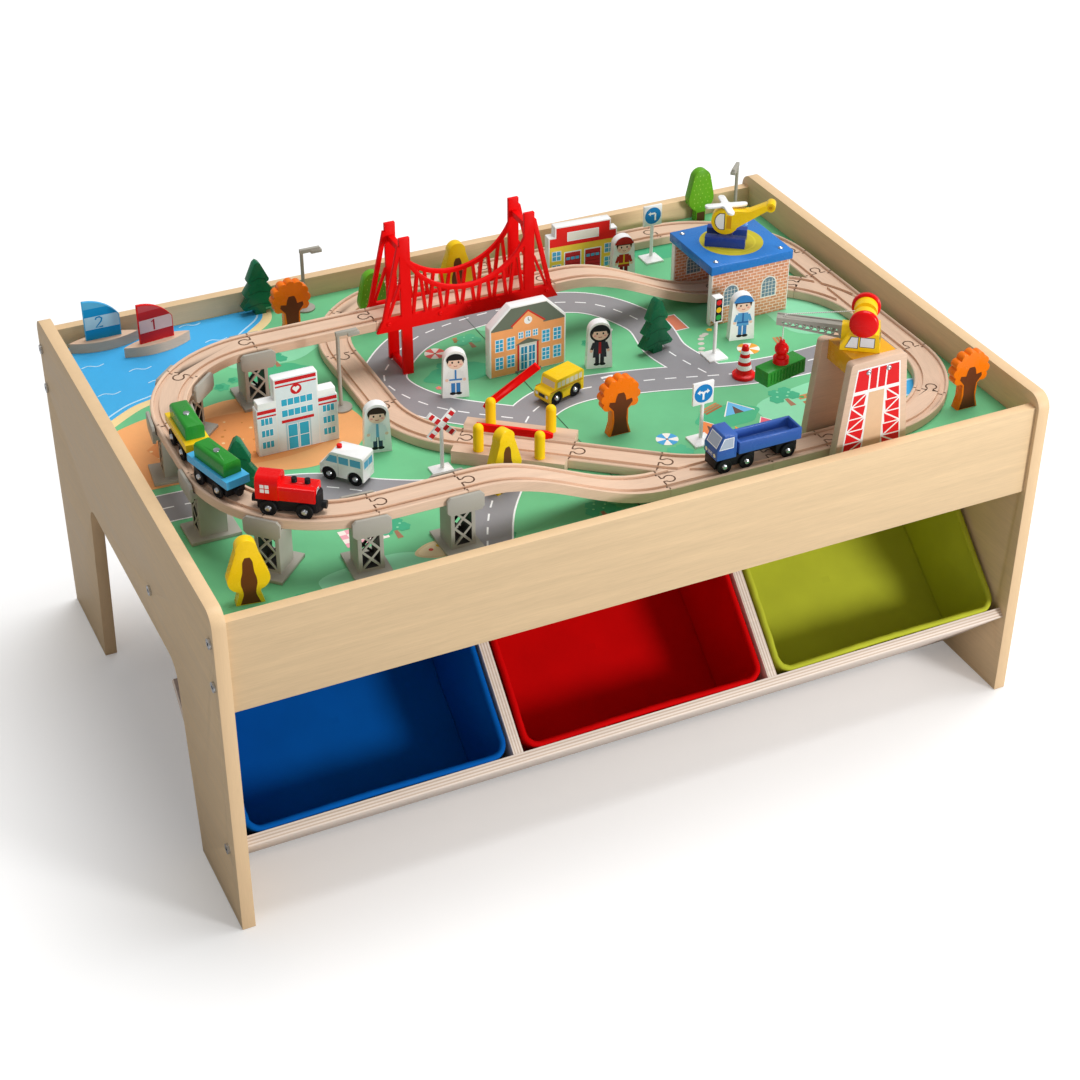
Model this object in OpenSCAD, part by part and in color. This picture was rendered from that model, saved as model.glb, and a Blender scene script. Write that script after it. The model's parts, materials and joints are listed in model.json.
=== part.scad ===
// Children's train table: a laminate table whose sunk board carries a wooden railway on two levels,
// with a level crossing, a bridge, a gantry crane, a station and loose scenery, and three tilted
// fabric bins in a plywood rack under the front rail.
// Millimetres. +X runs along the length, -Y is the front, +Z is up, origin on the floor in the middle.

/* [Table] */
// Length over the end panels
table_l = 1000; // [980:5:1100]
// Depth over the end panels
table_d = 676; // [660:2:740]
// Height of the end panels
panel_h = 421; // [405:1:460]
// Thickness of an end panel
panel_t = 15; // [12:0.5:18]
// Radius of an end panel's top corners
panel_corner_r = 18; // [8:1:30]
// Width of each foot at the floor
foot_w = 138; // [110:1:150]
// Height of the arch between the feet
arch_h = 246; // [200:1:255]
// How far each side of the arch leans in from floor to top
arch_lean = 28; // [10:1:40]
// Radius of the arch's top corners
arch_r = 26; // [10:1:40]
// Thickness of the front and back rails
rail_t = 13; // [12:0.5:16]
// Height of the rails
rail_h = 113; // [100:1:120]
// How far the rail tops lie below the panel tops
rail_drop = 15; // [8:1:18]
// How far the rails stand back from the panels' edges
rail_recess = 5; // [2:0.5:8]
// Radius of the assembly bolts
bolt_r = 3; // [2:0.25:3.5]
// Radius of the bolts' round heads
bolt_head_r = 6; // [5:0.25:8]
// Depth that a bolt reaches into a rail or plank
bolt_reach = 32; // [20:1:45]

/* [Play board] */
// Depth of the tray from the panel tops to the board
tray_depth = 42; // [36:1:50]
// Thickness of the printed board
board_t = 6; // [4:0.5:9]
// Side of the square cleats under the board's rim
cleat_s = 14; // [10:1:18]
// Width of the cross beam under the board's seam
beam_w = 40; // [30:1:60]
// Depth of that cross beam
beam_h = 20; // [16:1:30]

/* [Bin rack] */
// Rise of the bins' openings towards the back, in degrees
bin_tilt = 44; // [42:0.5:46]
// Height of the ledge plank's front edge
ledge_z = 118; // [116:1:130]
// How far that edge stands back from the panels' front edges
ledge_setback = 14; // [12:1:18]
// Width of the ledge plank
ledge_w = 130; // [124:1:134]
// Thickness of the rack's plywood
ply_t = 12; // [9:0.5:14]
// Width of the back plank above the ledge
back_w = 200; // [170:1:210]
// Distance of the rack's top bar in front of the table's middle
bar_y = 95; // [90:1:105]
// Distance from the board down to the middle of the top bar
bar_drop = 78; // [73:1:83]
// Height of the top bar
bar_h = 40; // [30:1:44]
// Thickness of the top bar
bar_t = 15; // [12:1:18]
// Length of a bin's opening up its tilt
bin_h = 212; // [190:1:216]
// Depth of a bin
bin_depth = 120; // [100:1:123]
// Side gap between a bin and its bay
bin_side_gap = 8; // [5:0.5:14]
// How much a bin narrows to its bottom on each side
bin_taper = 9; // [4:1:14]
// Thickness of a bin's wall
bin_wall = 3; // [2:0.25:4]
// Radius of a bin's corners
bin_corner_r = 20; // [14:1:28]
// Gap under a bin
bin_gap = 0.4; // [0.3:0.1:1]

/* [Track] */
// Width of the wooden track
track_w = 40; // [39:0.25:42]
// Thickness of the track
track_t = 12; // [11:0.25:13]
// Width of each wheel groove
groove_w = 6.4; // [6.2:0.1:7]
// Depth of each wheel groove
groove_d = 3; // [2.5:0.1:3]
// Distance of the grooves from the track's middle
groove_pos = 13; // [12.75:0.25:13.25]
// Bevel along the track's edges
track_bevel = 1; // [0.5:0.1:1.5]
// Radius of the curves' middle line
curve_r = 135; // [132:1:138]
// Radius of a joint's round peg
peg_r = 6; // [5:0.25:6.5]
// Length of a peg's neck
peg_neck = 9; // [8:0.25:10]
// Clearance in the joints
joint_gap = 0.4; // [0.3:0.05:0.6]
// Height of the raised track's underside over the board
raise_h = 64; // [60:1:68]
// Length of a ramp
ramp_l = 240; // [220:1:250]
// Level lead at a ramp's raised end
ramp_lead = 20; // [18:1:24]
// Straight strips that make a ramp's curve
ramp_steps = 18; // [12:2:24]
// Angle of the branch in front
branch_angle = 38; // [37:0.5:39]
// Length of the right switch
switch_l = 116; // [112:1:120]
// Straight lead of a switch before its branch turns off
switch_lead = 7; // [5:1:9]
// Radius of the front switch's branch
branch_r = 172; // [171:0.5:176]
// Length of the front switch
branch_l = 128.75; // [126:0.25:132]
// Length of the level crossing
crossing_l = 130; // [126:1:134]
// Distance from the right panel to the right track's middle
right_margin = 32; // [30:1:36]
// Distance from the left panel to the left track's middle
left_margin = 49; // [45:1:52]
// Distance from the front rail to the front track's middle
front_margin = 54; // [52:1:58]
// Distance from the back rail to the back track's middle
back_margin = 39; // [36:1:44]
// Place of the middle track left of the table's middle
middle_track_x = 180; // [178:1:184]
// Place of the bridge track behind the table's middle
bridge_track_y = 110; // [108:1:112]

/* [Pillars] */
// Length of a pillar's tower along the track
pillar_l = 28; // [24:1:32]
// Width of a pillar's tower across the track
pillar_w = 30; // [26:1:34]
// Wall of a pillar's tower
pillar_wall = 4.5; // [3:0.5:6]
// Width of the lattice bars
lattice_w = 2.6; // [2:0.2:3.2]
// Thickness of a saddle's flanges
flange_t = 3.5; // [2.5:0.25:4.5]
// Height of a saddle's flanges
flange_h = 22; // [18:1:24]
// Length of a saddle along the track
saddle_l = 42; // [36:1:46]

/* [Bridge] */
// Length of the bridge
bridge_l = 235; // [228:1:242]
// Height of the towers
tower_h = 179; // [165:1:190]
// Width of a tower leg
tower_w = 13; // [10:0.5:15]
// Distance from the bridge's end to a tower's middle
tower_inset = 38; // [34:1:42]
// Thickness of the side plates
bridge_plate_t = 4.5; // [3:0.25:6]
// Height of the bottom chord
chord_h = 17; // [14:0.5:20]
// Lowest point of the main cable over the board
cable_low = 103; // [98:1:108]
// Height where the main cable meets the towers
cable_high = 148; // [140:1:156]
// Width of the cable and the stays
cable_w = 5; // [3.5:0.25:6]
// Count of the truss bays between the towers
truss_bays = 7; // [5:1:8]

/* [Level crossing] */
// Width of the side strips
strip_w = 18; // [16:0.5:20]
// Height of the side strips
strip_h = 16; // [14:0.5:18]
// Radius of the posts
post_r = 6; // [5:0.25:6.5]
// Height of the posts over the strips
post_h = 34; // [30:1:40]
// Distance between two posts of one side
post_pitch = 70; // [66:1:74]
// Length of a barrier boom past its pivot
boom_l = 74; // [70:1:78]
// Length of a boom's tail
boom_tail = 13; // [8:1:14]
// Height of a boom
boom_h = 9; // [7:0.5:10]
// Thickness of a boom
boom_t = 4; // [3:0.25:5]
// Angle at which the far boom stands open, in degrees
far_boom_angle = 45; // [40:1:50]

/* [Rolling stock] */
// Radius of the rail wheels
wheel_r = 9; // [8.5:0.1:9.4]
// Thickness of the rail wheels
wheel_w = 3.2; // [2.8:0.1:3.4]
// Gap between a wheel and the groove's floor
wheel_lift = 0.35; // [0.3:0.05:0.5]
// Radius of the axles
axle_r = 1.5; // [1.2:0.1:1.8]
// Running clearance of axles and pins in their bores
axle_gap = 0.06; // [0.03:0.01:0.1]
// Width of a rail vehicle's chassis
chassis_w = 22; // [20:0.25:22]
// Length of a wagon's chassis
chassis_l = 62; // [58:1:64]
// Height of a chassis top over the track
chassis_top = 16; // [15.8:0.1:18]
// Distance between a wagon's axles
wagon_base = 34; // [30:1:36]
// Distance between the locomotive's axles
loco_base = 38; // [34:1:40]
// Length of a wagon's bed
bed_l = 74; // [70:1:76]
// Width of a wagon's bed
bed_w = 28; // [25:0.5:30]
// Height of a wagon's bed
bed_h = 9; // [7:0.5:11]
// Place of the locomotive on the left curve, in degrees from +X
loco_angle = 234; // [232:0.5:236]
// Place of the blue wagon on the left curve, in degrees from +X
blue_wagon_angle = 195; // [194:0.5:196]
// Distance from the blue wagon to the yellow one along the left track
wagon_pitch = 83.66; // [82.5:0.02:85]
// Length of a magnet coupling
coupler_l = 8; // [6:0.5:8.5]
// Place of the lorry's front axle right of the table's middle
truck_x = 107; // [100:1:112]
// Distance from the lorry's front axle to its second
truck_base_1 = 28; // [26:1:30]
// Distance from the lorry's second axle to its third
truck_base_2 = 53; // [50:1:56]
// Width of the lorry's body
truck_w = 29; // [26:0.5:31]
// Radius of a road vehicle's wheels
road_wheel_r = 8.5; // [7.5:0.1:9]
// Thickness of a road vehicle's wheels
road_wheel_w = 4.4; // [3.6:0.1:4.6]
// Width of the bus and the ambulance
car_w = 25; // [23:0.5:27]

/* [Crane] */
// Distance from the right track to the crane
crane_back = 170; // [167:1:173]
// Height of the gantry
gantry_h = 124; // [118:1:130]
// Width of a gantry plate at the board
gantry_foot = 96; // [90:1:100]
// Width of a gantry plate at the top
gantry_top = 72; // [66:1:78]
// Thickness of the gantry plates
gantry_t = 11; // [9:0.5:13]
// Clear width between the gantry plates
gantry_gap = 50; // [48:0.5:54]
// Height of the platform between the plates
platform_h = 24; // [20:1:28]
// Length of the platform
platform_l = 56; // [50:1:60]
// Direction of the jib, in degrees from +X
jib_angle = 144; // [140:1:148]
// Reach of the jib from the slewing axis
jib_reach = 96; // [94:0.5:98]
// Width of the jib
jib_w = 13; // [11:0.5:15]
// Height of the winch axis over the cab's floor
winch_z = 36; // [34:0.5:38]
// Radius of the winch axle
winch_r = 4; // [3:0.25:4.5]
// Radius of the winch knobs
knob_r = 16; // [14:0.5:16]
// Width of the cab
cab_w = 36; // [32:1:38]
// Diameter of the hoist cord
cord_d = 1.2; // [1:0.1:1.6]
// Length of the container
container_l = 58; // [52:1:60]
// Width of the container
container_w = 21; // [18:0.5:22]
// Height of the container
container_h = 18; // [15:0.5:20]
// Height of the lifting magnet
magnet_h = 28; // [24:0.5:30]

/* [Station and helicopter] */
// Distance from the right track to the left edge of the station's walls
station_back = 187; // [183:1:191]
// Length of the station's walls
station_l = 111; // [106:1:114]
// Clear width between the station's walls
station_gap = 87; // [85:0.5:90]
// Thickness of the station's walls
station_wall = 8; // [6:0.5:10]
// Height of the station's walls
station_h = 71; // [66:1:76]
// Thickness of the station's roof
roof_t = 12; // [10:0.5:14]
// Overhang of the station's roof
roof_over = 2.5; // [1.5:0.5:4]
// Gap between the track and the station's rear wall
station_track_gap = 2; // [1.5:0.5:4]
// Diameter of the helicopter's rotor
rotor_d = 54; // [48:1:58]
// Thickness of the helicopter's fuselage
heli_w = 15; // [12:0.5:17]

/* [Scenery] */
// Thickness of the flat wooden figures and trees
flat_t = 12; // [9:0.5:13]
// Thickness of the house fronts
house_t = 13; // [10:0.5:15]
// Height of the little people
person_h = 62; // [58:1:66]
// Width of the little people
person_w = 32; // [28:1:34]
// Height of a sign's pole
sign_pole = 50; // [46:1:54]

/* [Hidden] */

wood = "#E3C696";
ply = "#D9BE94";
beech = "#DDB48F";
red = "#D8201E";
yellow = "#F2C01C";
black = "#222222";
grey = "#A9A9A4";
blue = "#2C62BE";
green = "#2E8B3A";

// Inside of the table
bay_l = table_l - 2 * panel_t;
rail_top = panel_h - rail_drop;
rail_y = table_d / 2 - rail_recess - rail_t;
board_z = panel_h - tray_depth;
board_gap = 0.4;
seat_gap = 0.1;
bolt_gap = 0.2;
head_t = 2.5;
hex_r = 2.4;
hex_d = 1.5;

// Rack
tilt_up = [cos(bin_tilt), sin(bin_tilt)];
tilt_in = [sin(bin_tilt), -cos(bin_tilt)];
ledge_y = -table_d / 2 + ledge_setback;
bin_bay = (bay_l - 2 * ply_t) / 3;
divider_x = (bin_bay + ply_t) / 2;
bin_w = bin_bay - 2 * bin_side_gap;
bar_z = board_z - board_t - bar_drop;
ledge_bolt = [ledge_y, ledge_z] - ply_t / 2 * tilt_up + 20 * tilt_in;

// Bolts of one panel as [y, z]: two in each rail, one in the rack's bar, one in its ledge
rail_bolt_y = rail_y + rail_t / 2;
rail_bolts = [for (s = [-1, 1], k = [0.22, 0.7]) [s * rail_bolt_y, rail_top - k * rail_h]];
bolts = concat(rail_bolts, [[-bar_y, bar_z], ledge_bolt]);

// Railway lines: middles of the runs
right_x = bay_l / 2 - right_margin;
left_x = -bay_l / 2 + left_margin;
front_y = -rail_y + front_margin;
back_y = rail_y - back_margin;
middle_x = -middle_track_x;
bridge_y = bridge_track_y;
left_bend = [left_x + curve_r, front_y + curve_r];
bridge_x = middle_x + 26;
merge_x = bridge_x - 49 + ramp_l;
diag = [cos(branch_angle), -sin(branch_angle)];
branch_bend = [merge_x + branch_l - switch_lead, front_y];
branch_end = branch_bend + branch_r * [-sin(branch_angle), 1 - cos(branch_angle)];
bend_b = [curve_r * (1 - sin(branch_angle)), -curve_r * cos(branch_angle)];
bend_b_x = middle_x + bend_b[0];
bend_b_y = branch_end[1] + (branch_end[0] - bend_b_x) * tan(branch_angle);
middle_end_y = bend_b_y - bend_b[1];
crossing_at = [bend_b_x, bend_b_y];
diag_at = crossing_at + crossing_l * diag;
diag_l = norm(branch_end - diag_at);
right_switch_y = bridge_y - curve_r - switch_lead;
right_main_y = right_switch_y + switch_l;
raised_front_l = bridge_x - 49 - left_bend[0];
station_ramp_x = right_x - curve_r - ramp_l;
bridge_deck_l = station_ramp_x - bridge_x;
raised_top = board_z + raise_h + track_t;
track_top = board_z + track_t;

// Rail vehicles
gauge = 2 * groove_pos;
wheel_z = wheel_r - groove_d + wheel_lift;
hub_r = 3.2;
hub_out = 1.6;
blue_seat = sqrt(pow(curve_r, 2) - pow(wagon_base / 2, 2));
loco_seat = sqrt(pow(curve_r, 2) - pow(loco_base / 2, 2));
yellow_wagon_y = left_bend[1] + blue_seat * sin(blue_wagon_angle) + wagon_pitch;
truck_mid = truck_base_1 + truck_base_2;

// Road vehicles: place on the board and heading
bus_at = [22, -38, 198];
ambulance_at = [-267, -98, 131];
road_gap = 0.3;
road_wheel_z = road_wheel_r + road_gap;
road_gauge = car_w - road_wheel_w - 0.6;
well_gap = 0.8;
bus_base = 30;
ambulance_base = 32;

// Crane: the cab's floor is the zero of the slewing pieces
crane_x = right_x - crane_back;
slew_gap = 0.4;
slew_r = 5;
cab_z = board_z + gantry_h + slew_gap;
cord_x = jib_reach - 8;
magnet_top = -4.5;
magnet_z = magnet_top - magnet_h;
container_z = magnet_z - container_h;
container_turn = -131;
knob_t = 7;
knob_gap = 0.4;
spool_w = 8;

// Station
station_x = right_x - station_back;
station_y1 = bridge_y + track_w / 2 + station_track_gap;
station_y0 = station_y1 - station_gap;
roof_z = board_z + station_h;
heli_at = [station_x + station_l / 2 - 8, (station_y0 + station_y1) / 2 + 3.7, roof_z + roof_t];
heli_turn = 145;
skid_h = 13;
nose_r = 17;
rotor_z = skid_h + 2 * nose_r - 0.5;

// Scenery places on the board: [x, y, turn]
pines = [
    [middle_x - 48, back_y + 28, 0], [station_x - 90, bridge_y - 98, 10],
    [left_x + 52, left_bend[1] + 51, -20]
];
round_trees = [[middle_x - 30, back_y - 43, 0], [48, front_y + 128, 0], [right_x - 11, front_y + 9, 0]];
oval_trees = [[middle_x + 70, back_y - 64, 0], [right_x - 52, back_y + 28, 0]];
bell_trees = [[left_x - 4, front_y - 6, -8], [middle_x + 60, front_y + 74, 20], [13, back_y - 38, 0]];
persons = [
    [middle_x - 35, bend_b_y + 31, -12], [middle_x + 93, bridge_y - 93, -15], [97, bridge_y - 102, -15],
    [station_x + 21, station_y0 - 48, -12], [227, back_y - 82, -8]
];
turn_signs = [[286, back_y - 51, 0], [124, front_y + 70, 0]];
traffic_light_at = [station_x - 32, station_y0 - 77, 0];
cross_sign_at = [middle_x + 13, front_y + 135, 0];
cone_at = [station_x - 23, station_y0 - 133, 0];
lamps = [
    [middle_x + 7, back_y + 13, 0, 82], [middle_x - 39, bridge_y - 64, 0, 100],
    [right_x - 9, back_y + 5, 226, 85]
];
hospital_at = [left_x + 95, bridge_y - 127, 0];
school_at = [-35, bridge_y - 77, 0];
fire_at = [139, back_y - 45, -4];
boats = [[left_x + 8, back_y + 24, 0], [left_x + 65, back_y - 9, 7]];

// Children at a place on the board, turned about +Z
module on_board(p) translate([p[0], p[1], board_z]) rotate([0, 0, p[2]]) children();

// Children drawn upright: the outline's y becomes +Z, its thickness runs to +Y
module upright(t) translate([0, t, 0]) rotate([90, 0, 0]) linear_extrude(t) children();

// Table

module panel_outline() {
    half = table_d / 2;
    difference() {
        union() {
            translate([-half, 0])
                square([table_d, panel_h - panel_corner_r]);
            translate([-half + panel_corner_r, 0])
                square([table_d - 2 * panel_corner_r, panel_h]);
            for (s = [-1, 1])
                translate([s * (half - panel_corner_r), panel_h - panel_corner_r])
                    circle(panel_corner_r, $fn = 48);
        }
        arch_outline();
    }
}

// Arch with leaning sides and tangent corner arcs
module arch_outline() {
    half = table_d / 2 - foot_w;
    lean = atan(arch_lean / arch_h);
    mid_z = arch_h - arch_r;
    mid_y = half - mid_z * tan(lean) - arch_r / cos(lean);
    side = [mid_y, mid_z] + arch_r * [cos(lean), sin(lean)];
    polygon([
        [-half, -1], [half, -1], [half, 0], side, [mid_y, arch_h],
        [-mid_y, arch_h], [-side[0], side[1]], [-half, 0]
    ]);
    for (s = [-1, 1])
        translate([s * mid_y, mid_z])
            circle(arch_r, $fn = 48);
}

// Clearance bores of every bolt between two places along X
module bolt_bores(points, x0, x1) {
    for (p = points)
        translate([x0, p[0], p[1]])
            rotate([0, 90, 0])
                cylinder(r = bolt_r + bolt_gap, h = x1 - x0, $fn = 24);
}

module end_panel() {
    color(wood)
        difference() {
            translate([bay_l / 2, 0, 0])
                rotate([90, 0, 90])
                    linear_extrude(panel_t)
                        panel_outline();
            bolt_bores(bolts, bay_l / 2 - 1, table_l / 2 + 1);
        }
}

module left_end_panel() mirror([1, 0, 0]) end_panel();
module right_end_panel() end_panel();

module rail() {
    color(wood)
        difference() {
            translate([-bay_l / 2, rail_y, rail_top - rail_h])
                cube([bay_l, rail_t, rail_h]);
            for (s = [0, 1])
                mirror([s, 0, 0])
                    bolt_bores(rail_bolts, bay_l / 2 - bolt_reach - 1, bay_l / 2 + 1);
        }
}

module front_rail() mirror([0, 1, 0]) rail();
module back_rail() rail();

module board_half() {
    color("#7FCFA0")
        translate([board_gap / 2, -rail_y + board_gap, board_z - board_t])
            cube([bay_l / 2 - 1.5 * board_gap, 2 * (rail_y - board_gap), board_t]);
}

module play_board_left() mirror([1, 0, 0]) board_half();
module play_board_right() board_half();

// Cleats round the tray's rim and a cross beam under the seam
module board_supports() {
    z = board_z - board_t - cleat_s;
    inner = rail_y - cleat_s - seat_gap;
    color(ply) {
        for (s = [0, 1])
            mirror([0, s, 0])
                translate([-bay_l / 2, rail_y - cleat_s, z])
                    cube([bay_l, cleat_s, cleat_s]);
        for (s = [0, 1])
            mirror([s, 0, 0])
                translate([bay_l / 2 - cleat_s, -inner, z])
                    cube([cleat_s, 2 * inner, cleat_s]);
        translate([-beam_w / 2, -inner, board_z - board_t - beam_h])
            cube([beam_w, 2 * inner, beam_h]);
    }
}

// Bolt with a round head and a hexagon socket
module bolt() {
    difference() {
        union() {
            cylinder(r = bolt_head_r, h = head_t, $fn = 32);
            translate([0, 0, -panel_t - bolt_reach])
                cylinder(r = bolt_r, h = panel_t + bolt_reach + head_t, $fn = 24);
        }
        translate([0, 0, head_t - hex_d])
            cylinder(r = hex_r, h = hex_d + 1, $fn = 6);
    }
}

module panel_bolts() {
    color("#9A9DA0")
        for (s = [0, 1], p = bolts)
            mirror([s, 0, 0])
                translate([table_l / 2, p[0], p[1]])
                    rotate([0, 90, 0])
                        bolt();
}

// Bin rack

// Children in the tilted frame: +Y up the openings, +Z out of them, zero on the ledge's front edge
module in_rack() translate([0, ledge_y, ledge_z]) rotate([bin_tilt, 0, 0]) children();

module bin_ledge_plank() {
    color(ply)
        difference() {
            in_rack()
                translate([-bay_l / 2, -ply_t, -ledge_w])
                    cube([bay_l, ply_t, ledge_w]);
            for (s = [0, 1])
                mirror([s, 0, 0])
                    bolt_bores([ledge_bolt], bay_l / 2 - bolt_reach - 1, bay_l / 2 + 1);
        }
}

module divider_outline() {
    edge = [ledge_y, ledge_z];
    top = bar_z - bar_h / 2 - seat_gap;
    deep = (ledge_w - seat_gap) * tilt_in;
    polygon([
        edge,
        edge + (top - ledge_z) / sin(bin_tilt) * tilt_up,
        [-bar_y + bar_t / 2, top],
        edge + back_w * tilt_up + deep,
        edge + deep
    ]);
}

// Back plank, two dividers and the top bar that they carry
module bin_rack() {
    color(ply) {
        in_rack()
            translate([-bay_l / 2, -ply_t, -ledge_w - ply_t])
                cube([bay_l, back_w + ply_t, ply_t]);
        for (s = [-1, 1])
            translate([s * divider_x - ply_t / 2, 0, 0])
                rotate([90, 0, 90])
                    linear_extrude(ply_t)
                        divider_outline();
        difference() {
            translate([-bay_l / 2, -bar_y - bar_t / 2, bar_z - bar_h / 2])
                cube([bay_l, bar_t, bar_h]);
            for (s = [0, 1])
                mirror([s, 0, 0])
                    bolt_bores([[-bar_y, bar_z]], bay_l / 2 - bolt_reach - 1, bay_l / 2 + 1);
        }
    }
}

// Rounded block that tapers from the opening to the bottom, drawn in by a wall
module bin_shape(wall, top) {
    r = bin_corner_r - wall;
    low = bin_gap + wall + r;
    hull()
        for (e = [[0, top], [bin_taper, wall - bin_depth]], s = [-1, 1], k = [0, 1])
            translate([
                s * (bin_w / 2 - e[0] - wall - r),
                low + k * (bin_h - e[0] - wall - r - low),
                e[1]
            ])
                cylinder(r = r, h = 1, $fn = 32);
}

module bin(place) {
    in_rack()
        translate([place * (bin_bay + ply_t), 0, 0])
            difference() {
                bin_shape(0, -1);
                bin_shape(bin_wall, 0);
            }
}

module blue_bin() color("#0B4A8C") bin(-1);
module red_bin() color("#B00A16") bin(0);
module green_bin() color("#A9AC2E") bin(1);

// Track: every piece starts at the origin with a socket, runs along +X and ends in a peg

module track_section() {
    w = track_w / 2;
    b = track_bevel;
    polygon([
        [-w, b], [b - w, 0], [w - b, 0], [w, b],
        [w, track_t - b], [w - b, track_t], [b - w, track_t], [-w, track_t - b]
    ]);
}

module groove_section() {
    for (s = [-1, 1])
        translate([s * groove_pos - groove_w / 2, track_t - groove_d])
            square([groove_w, groove_d + 1]);
}

module along(l) rotate([90, 0, 90]) linear_extrude(l) children();

// Section swept round a left-hand bend that starts at the origin along +X
module round_bend(a, r = curve_r) {
    translate([0, r, 0])
        rotate([0, 0, -90])
            rotate_extrude(angle = a, $fn = 128)
                translate([r, 0])
                    children();
}

// Children at the end of such a bend
module bend_end(a, r = curve_r) translate([0, r, 0]) rotate([0, 0, a]) translate([0, -r, 0]) children();

module peg(clear) {
    translate([-1, -peg_r / 2 - clear, 0])
        cube([peg_neck + 1, peg_r + 2 * clear, track_t]);
    translate([peg_neck, 0, 0])
        cylinder(r = peg_r + clear, h = track_t, $fn = 32);
}

// Socket with the joint's end gap
module socket() {
    translate([0, 0, -1])
        linear_extrude(track_t + 2) {
            translate([-1, -track_w / 2 - 1])
                square([1 + joint_gap, track_w + 2]);
            translate([-1, -peg_r / 2 - joint_gap])
                square([peg_neck + 1, peg_r + 2 * joint_gap]);
            translate([peg_neck, 0])
                circle(peg_r + joint_gap, $fn = 32);
        }
}

module straight(l) {
    difference() {
        union() {
            along(l) track_section();
            translate([l, 0, 0]) peg(0);
        }
        along(l) groove_section();
        socket();
    }
}

module curve(a) {
    difference() {
        union() {
            round_bend(a) track_section();
            bend_end(a) peg(0);
        }
        round_bend(a) groove_section();
        socket();
    }
}

// Switch from its single end; a trailing one has the peg there and sockets on both legs
module switch(l, a, r, trailing) {
    difference() {
        union() {
            along(l) track_section();
            translate([switch_lead, 0, 0]) round_bend(a, r) track_section();
            if (trailing) mirror([1, 0, 0]) peg(0);
            if (!trailing) translate([l, 0, 0]) peg(0);
            if (!trailing) translate([switch_lead, 0, 0]) bend_end(a, r) peg(0);
        }
        along(l) groove_section();
        translate([switch_lead, 0, 0]) round_bend(a, r) groove_section();
        if (!trailing) socket();
        if (trailing) translate([l, 0, 0]) mirror([1, 0, 0]) socket();
        if (trailing) translate([switch_lead, 0, 0]) bend_end(a, r) mirror([1, 0, 0]) socket();
    }
}

// Side line of a ramp at a height over its underside, flat at both ends
function ramp_point(k) = [(ramp_l - ramp_lead) * k, raise_h * (1 - cos(180 * k)) / 2];
function ramp_line(up) = [
    for (i = [0 : ramp_steps]) ramp_point(i / ramp_steps) + [0, up],
    [ramp_l, raise_h + up]
];
function reversed(list) = [for (i = [len(list) - 1 : -1 : 0]) list[i]];

module ramp_band(low, high, y, w) {
    translate([0, y + w, 0])
        rotate([90, 0, 0])
            linear_extrude(w)
                polygon(concat(ramp_line(low), reversed(ramp_line(high))));
}

// Ramp rising along +X; one that is run downhill has its socket at the top
module ramp(downhill) {
    difference() {
        union() {
            ramp_band(0, track_t, -track_w / 2, track_w);
            if (downhill) mirror([1, 0, 0]) peg(0);
            if (!downhill) translate([ramp_l, 0, raise_h]) peg(0);
        }
        for (s = [-1, 1])
            ramp_band(track_t - groove_d, track_t + 1, s * groove_pos - groove_w / 2, groove_w);
        if (!downhill) socket();
        if (downhill) translate([ramp_l, 0, raise_h]) mirror([1, 0, 0]) socket();
    }
}

// Children at a place on the board with a heading, and raised if asked
module lay(x, y, turn, up = 0) translate([x, y, board_z + up]) rotate([0, 0, turn]) children();

module track_straights() {
    front_l = right_x - curve_r - branch_bend[0] - switch_lead;
    back_l = right_x - middle_x - 2 * curve_r;
    color(beech) {
        for (i = [0, 1])
            lay(branch_bend[0] + switch_lead + i * front_l / 2, front_y, 0) straight(front_l / 2);
        lay(right_x, front_y + curve_r, 90) straight(right_switch_y - front_y - curve_r);
        lay(right_x, right_main_y, 90) straight(back_y - curve_r - right_main_y);
        for (i = [0 : 2])
            lay(right_x - curve_r - i * back_l / 3, back_y, 180) straight(back_l / 3);
        lay(middle_x, back_y - curve_r, -90) straight(back_y - curve_r - middle_end_y);
        lay(diag_at[0], diag_at[1], -branch_angle) straight(diag_l);
        lay(bridge_x, bridge_y, 180, raise_h) straight(bridge_x - left_bend[0]);
        lay(left_x, bridge_y - curve_r, -90, raise_h) straight(bridge_y - front_y - 2 * curve_r);
        lay(left_bend[0], front_y, 0, raise_h) straight(raised_front_l);
    }
}

module track_curves() {
    color(beech) {
        for (i = [0, 1]) {
            lay(right_x - curve_r, front_y, 0) bend_end(45 * i) curve(45);
            lay(right_x, back_y - curve_r, 90) bend_end(45 * i) curve(45);
            lay(middle_x + curve_r, back_y, 180) bend_end(45 * i) curve(45);
            lay(left_bend[0], bridge_y, 180, raise_h) bend_end(45 * i) curve(45);
            lay(left_x, left_bend[1], -90, raise_h) bend_end(45 * i) curve(45);
        }
        lay(middle_x, middle_end_y, -90) curve(90 - branch_angle);
        lay(right_x, right_switch_y + switch_lead, 90) bend_end(45) curve(45);
    }
}

module track_ramps_and_switches() {
    color(beech) {
        lay(right_x - curve_r, bridge_y, 180) ramp(false);
        lay(merge_x, front_y, 180) ramp(true);
        lay(branch_bend[0] + switch_lead, front_y, 180)
            mirror([0, 1, 0])
                switch(branch_l, branch_angle, branch_r, true);
        lay(right_x, right_switch_y, 90) switch(switch_l, 45, curve_r, false);
    }
}

// Pillars

flange_base = 12;

module lattice() {
    win_l = pillar_l - 2 * pillar_wall;
    win_h = raise_h - flange_base - 10;
    pitch = win_h / 2;
    intersection() {
        translate([-win_l / 2 - 0.5, 0]) square([win_l + 1, win_h]);
        for (i = [0, 1], s = [-1, 1])
            translate([0, pitch * (i + 0.5)])
                rotate(s * atan(pitch / win_l))
                    square([2 * pitch, lattice_w], center = true);
    }
}

// How far a bend's inner edge bulges past a straight flange
bend_bulge = pow(saddle_l / 2 + 8, 2) / (2 * curve_r - track_w);

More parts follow.
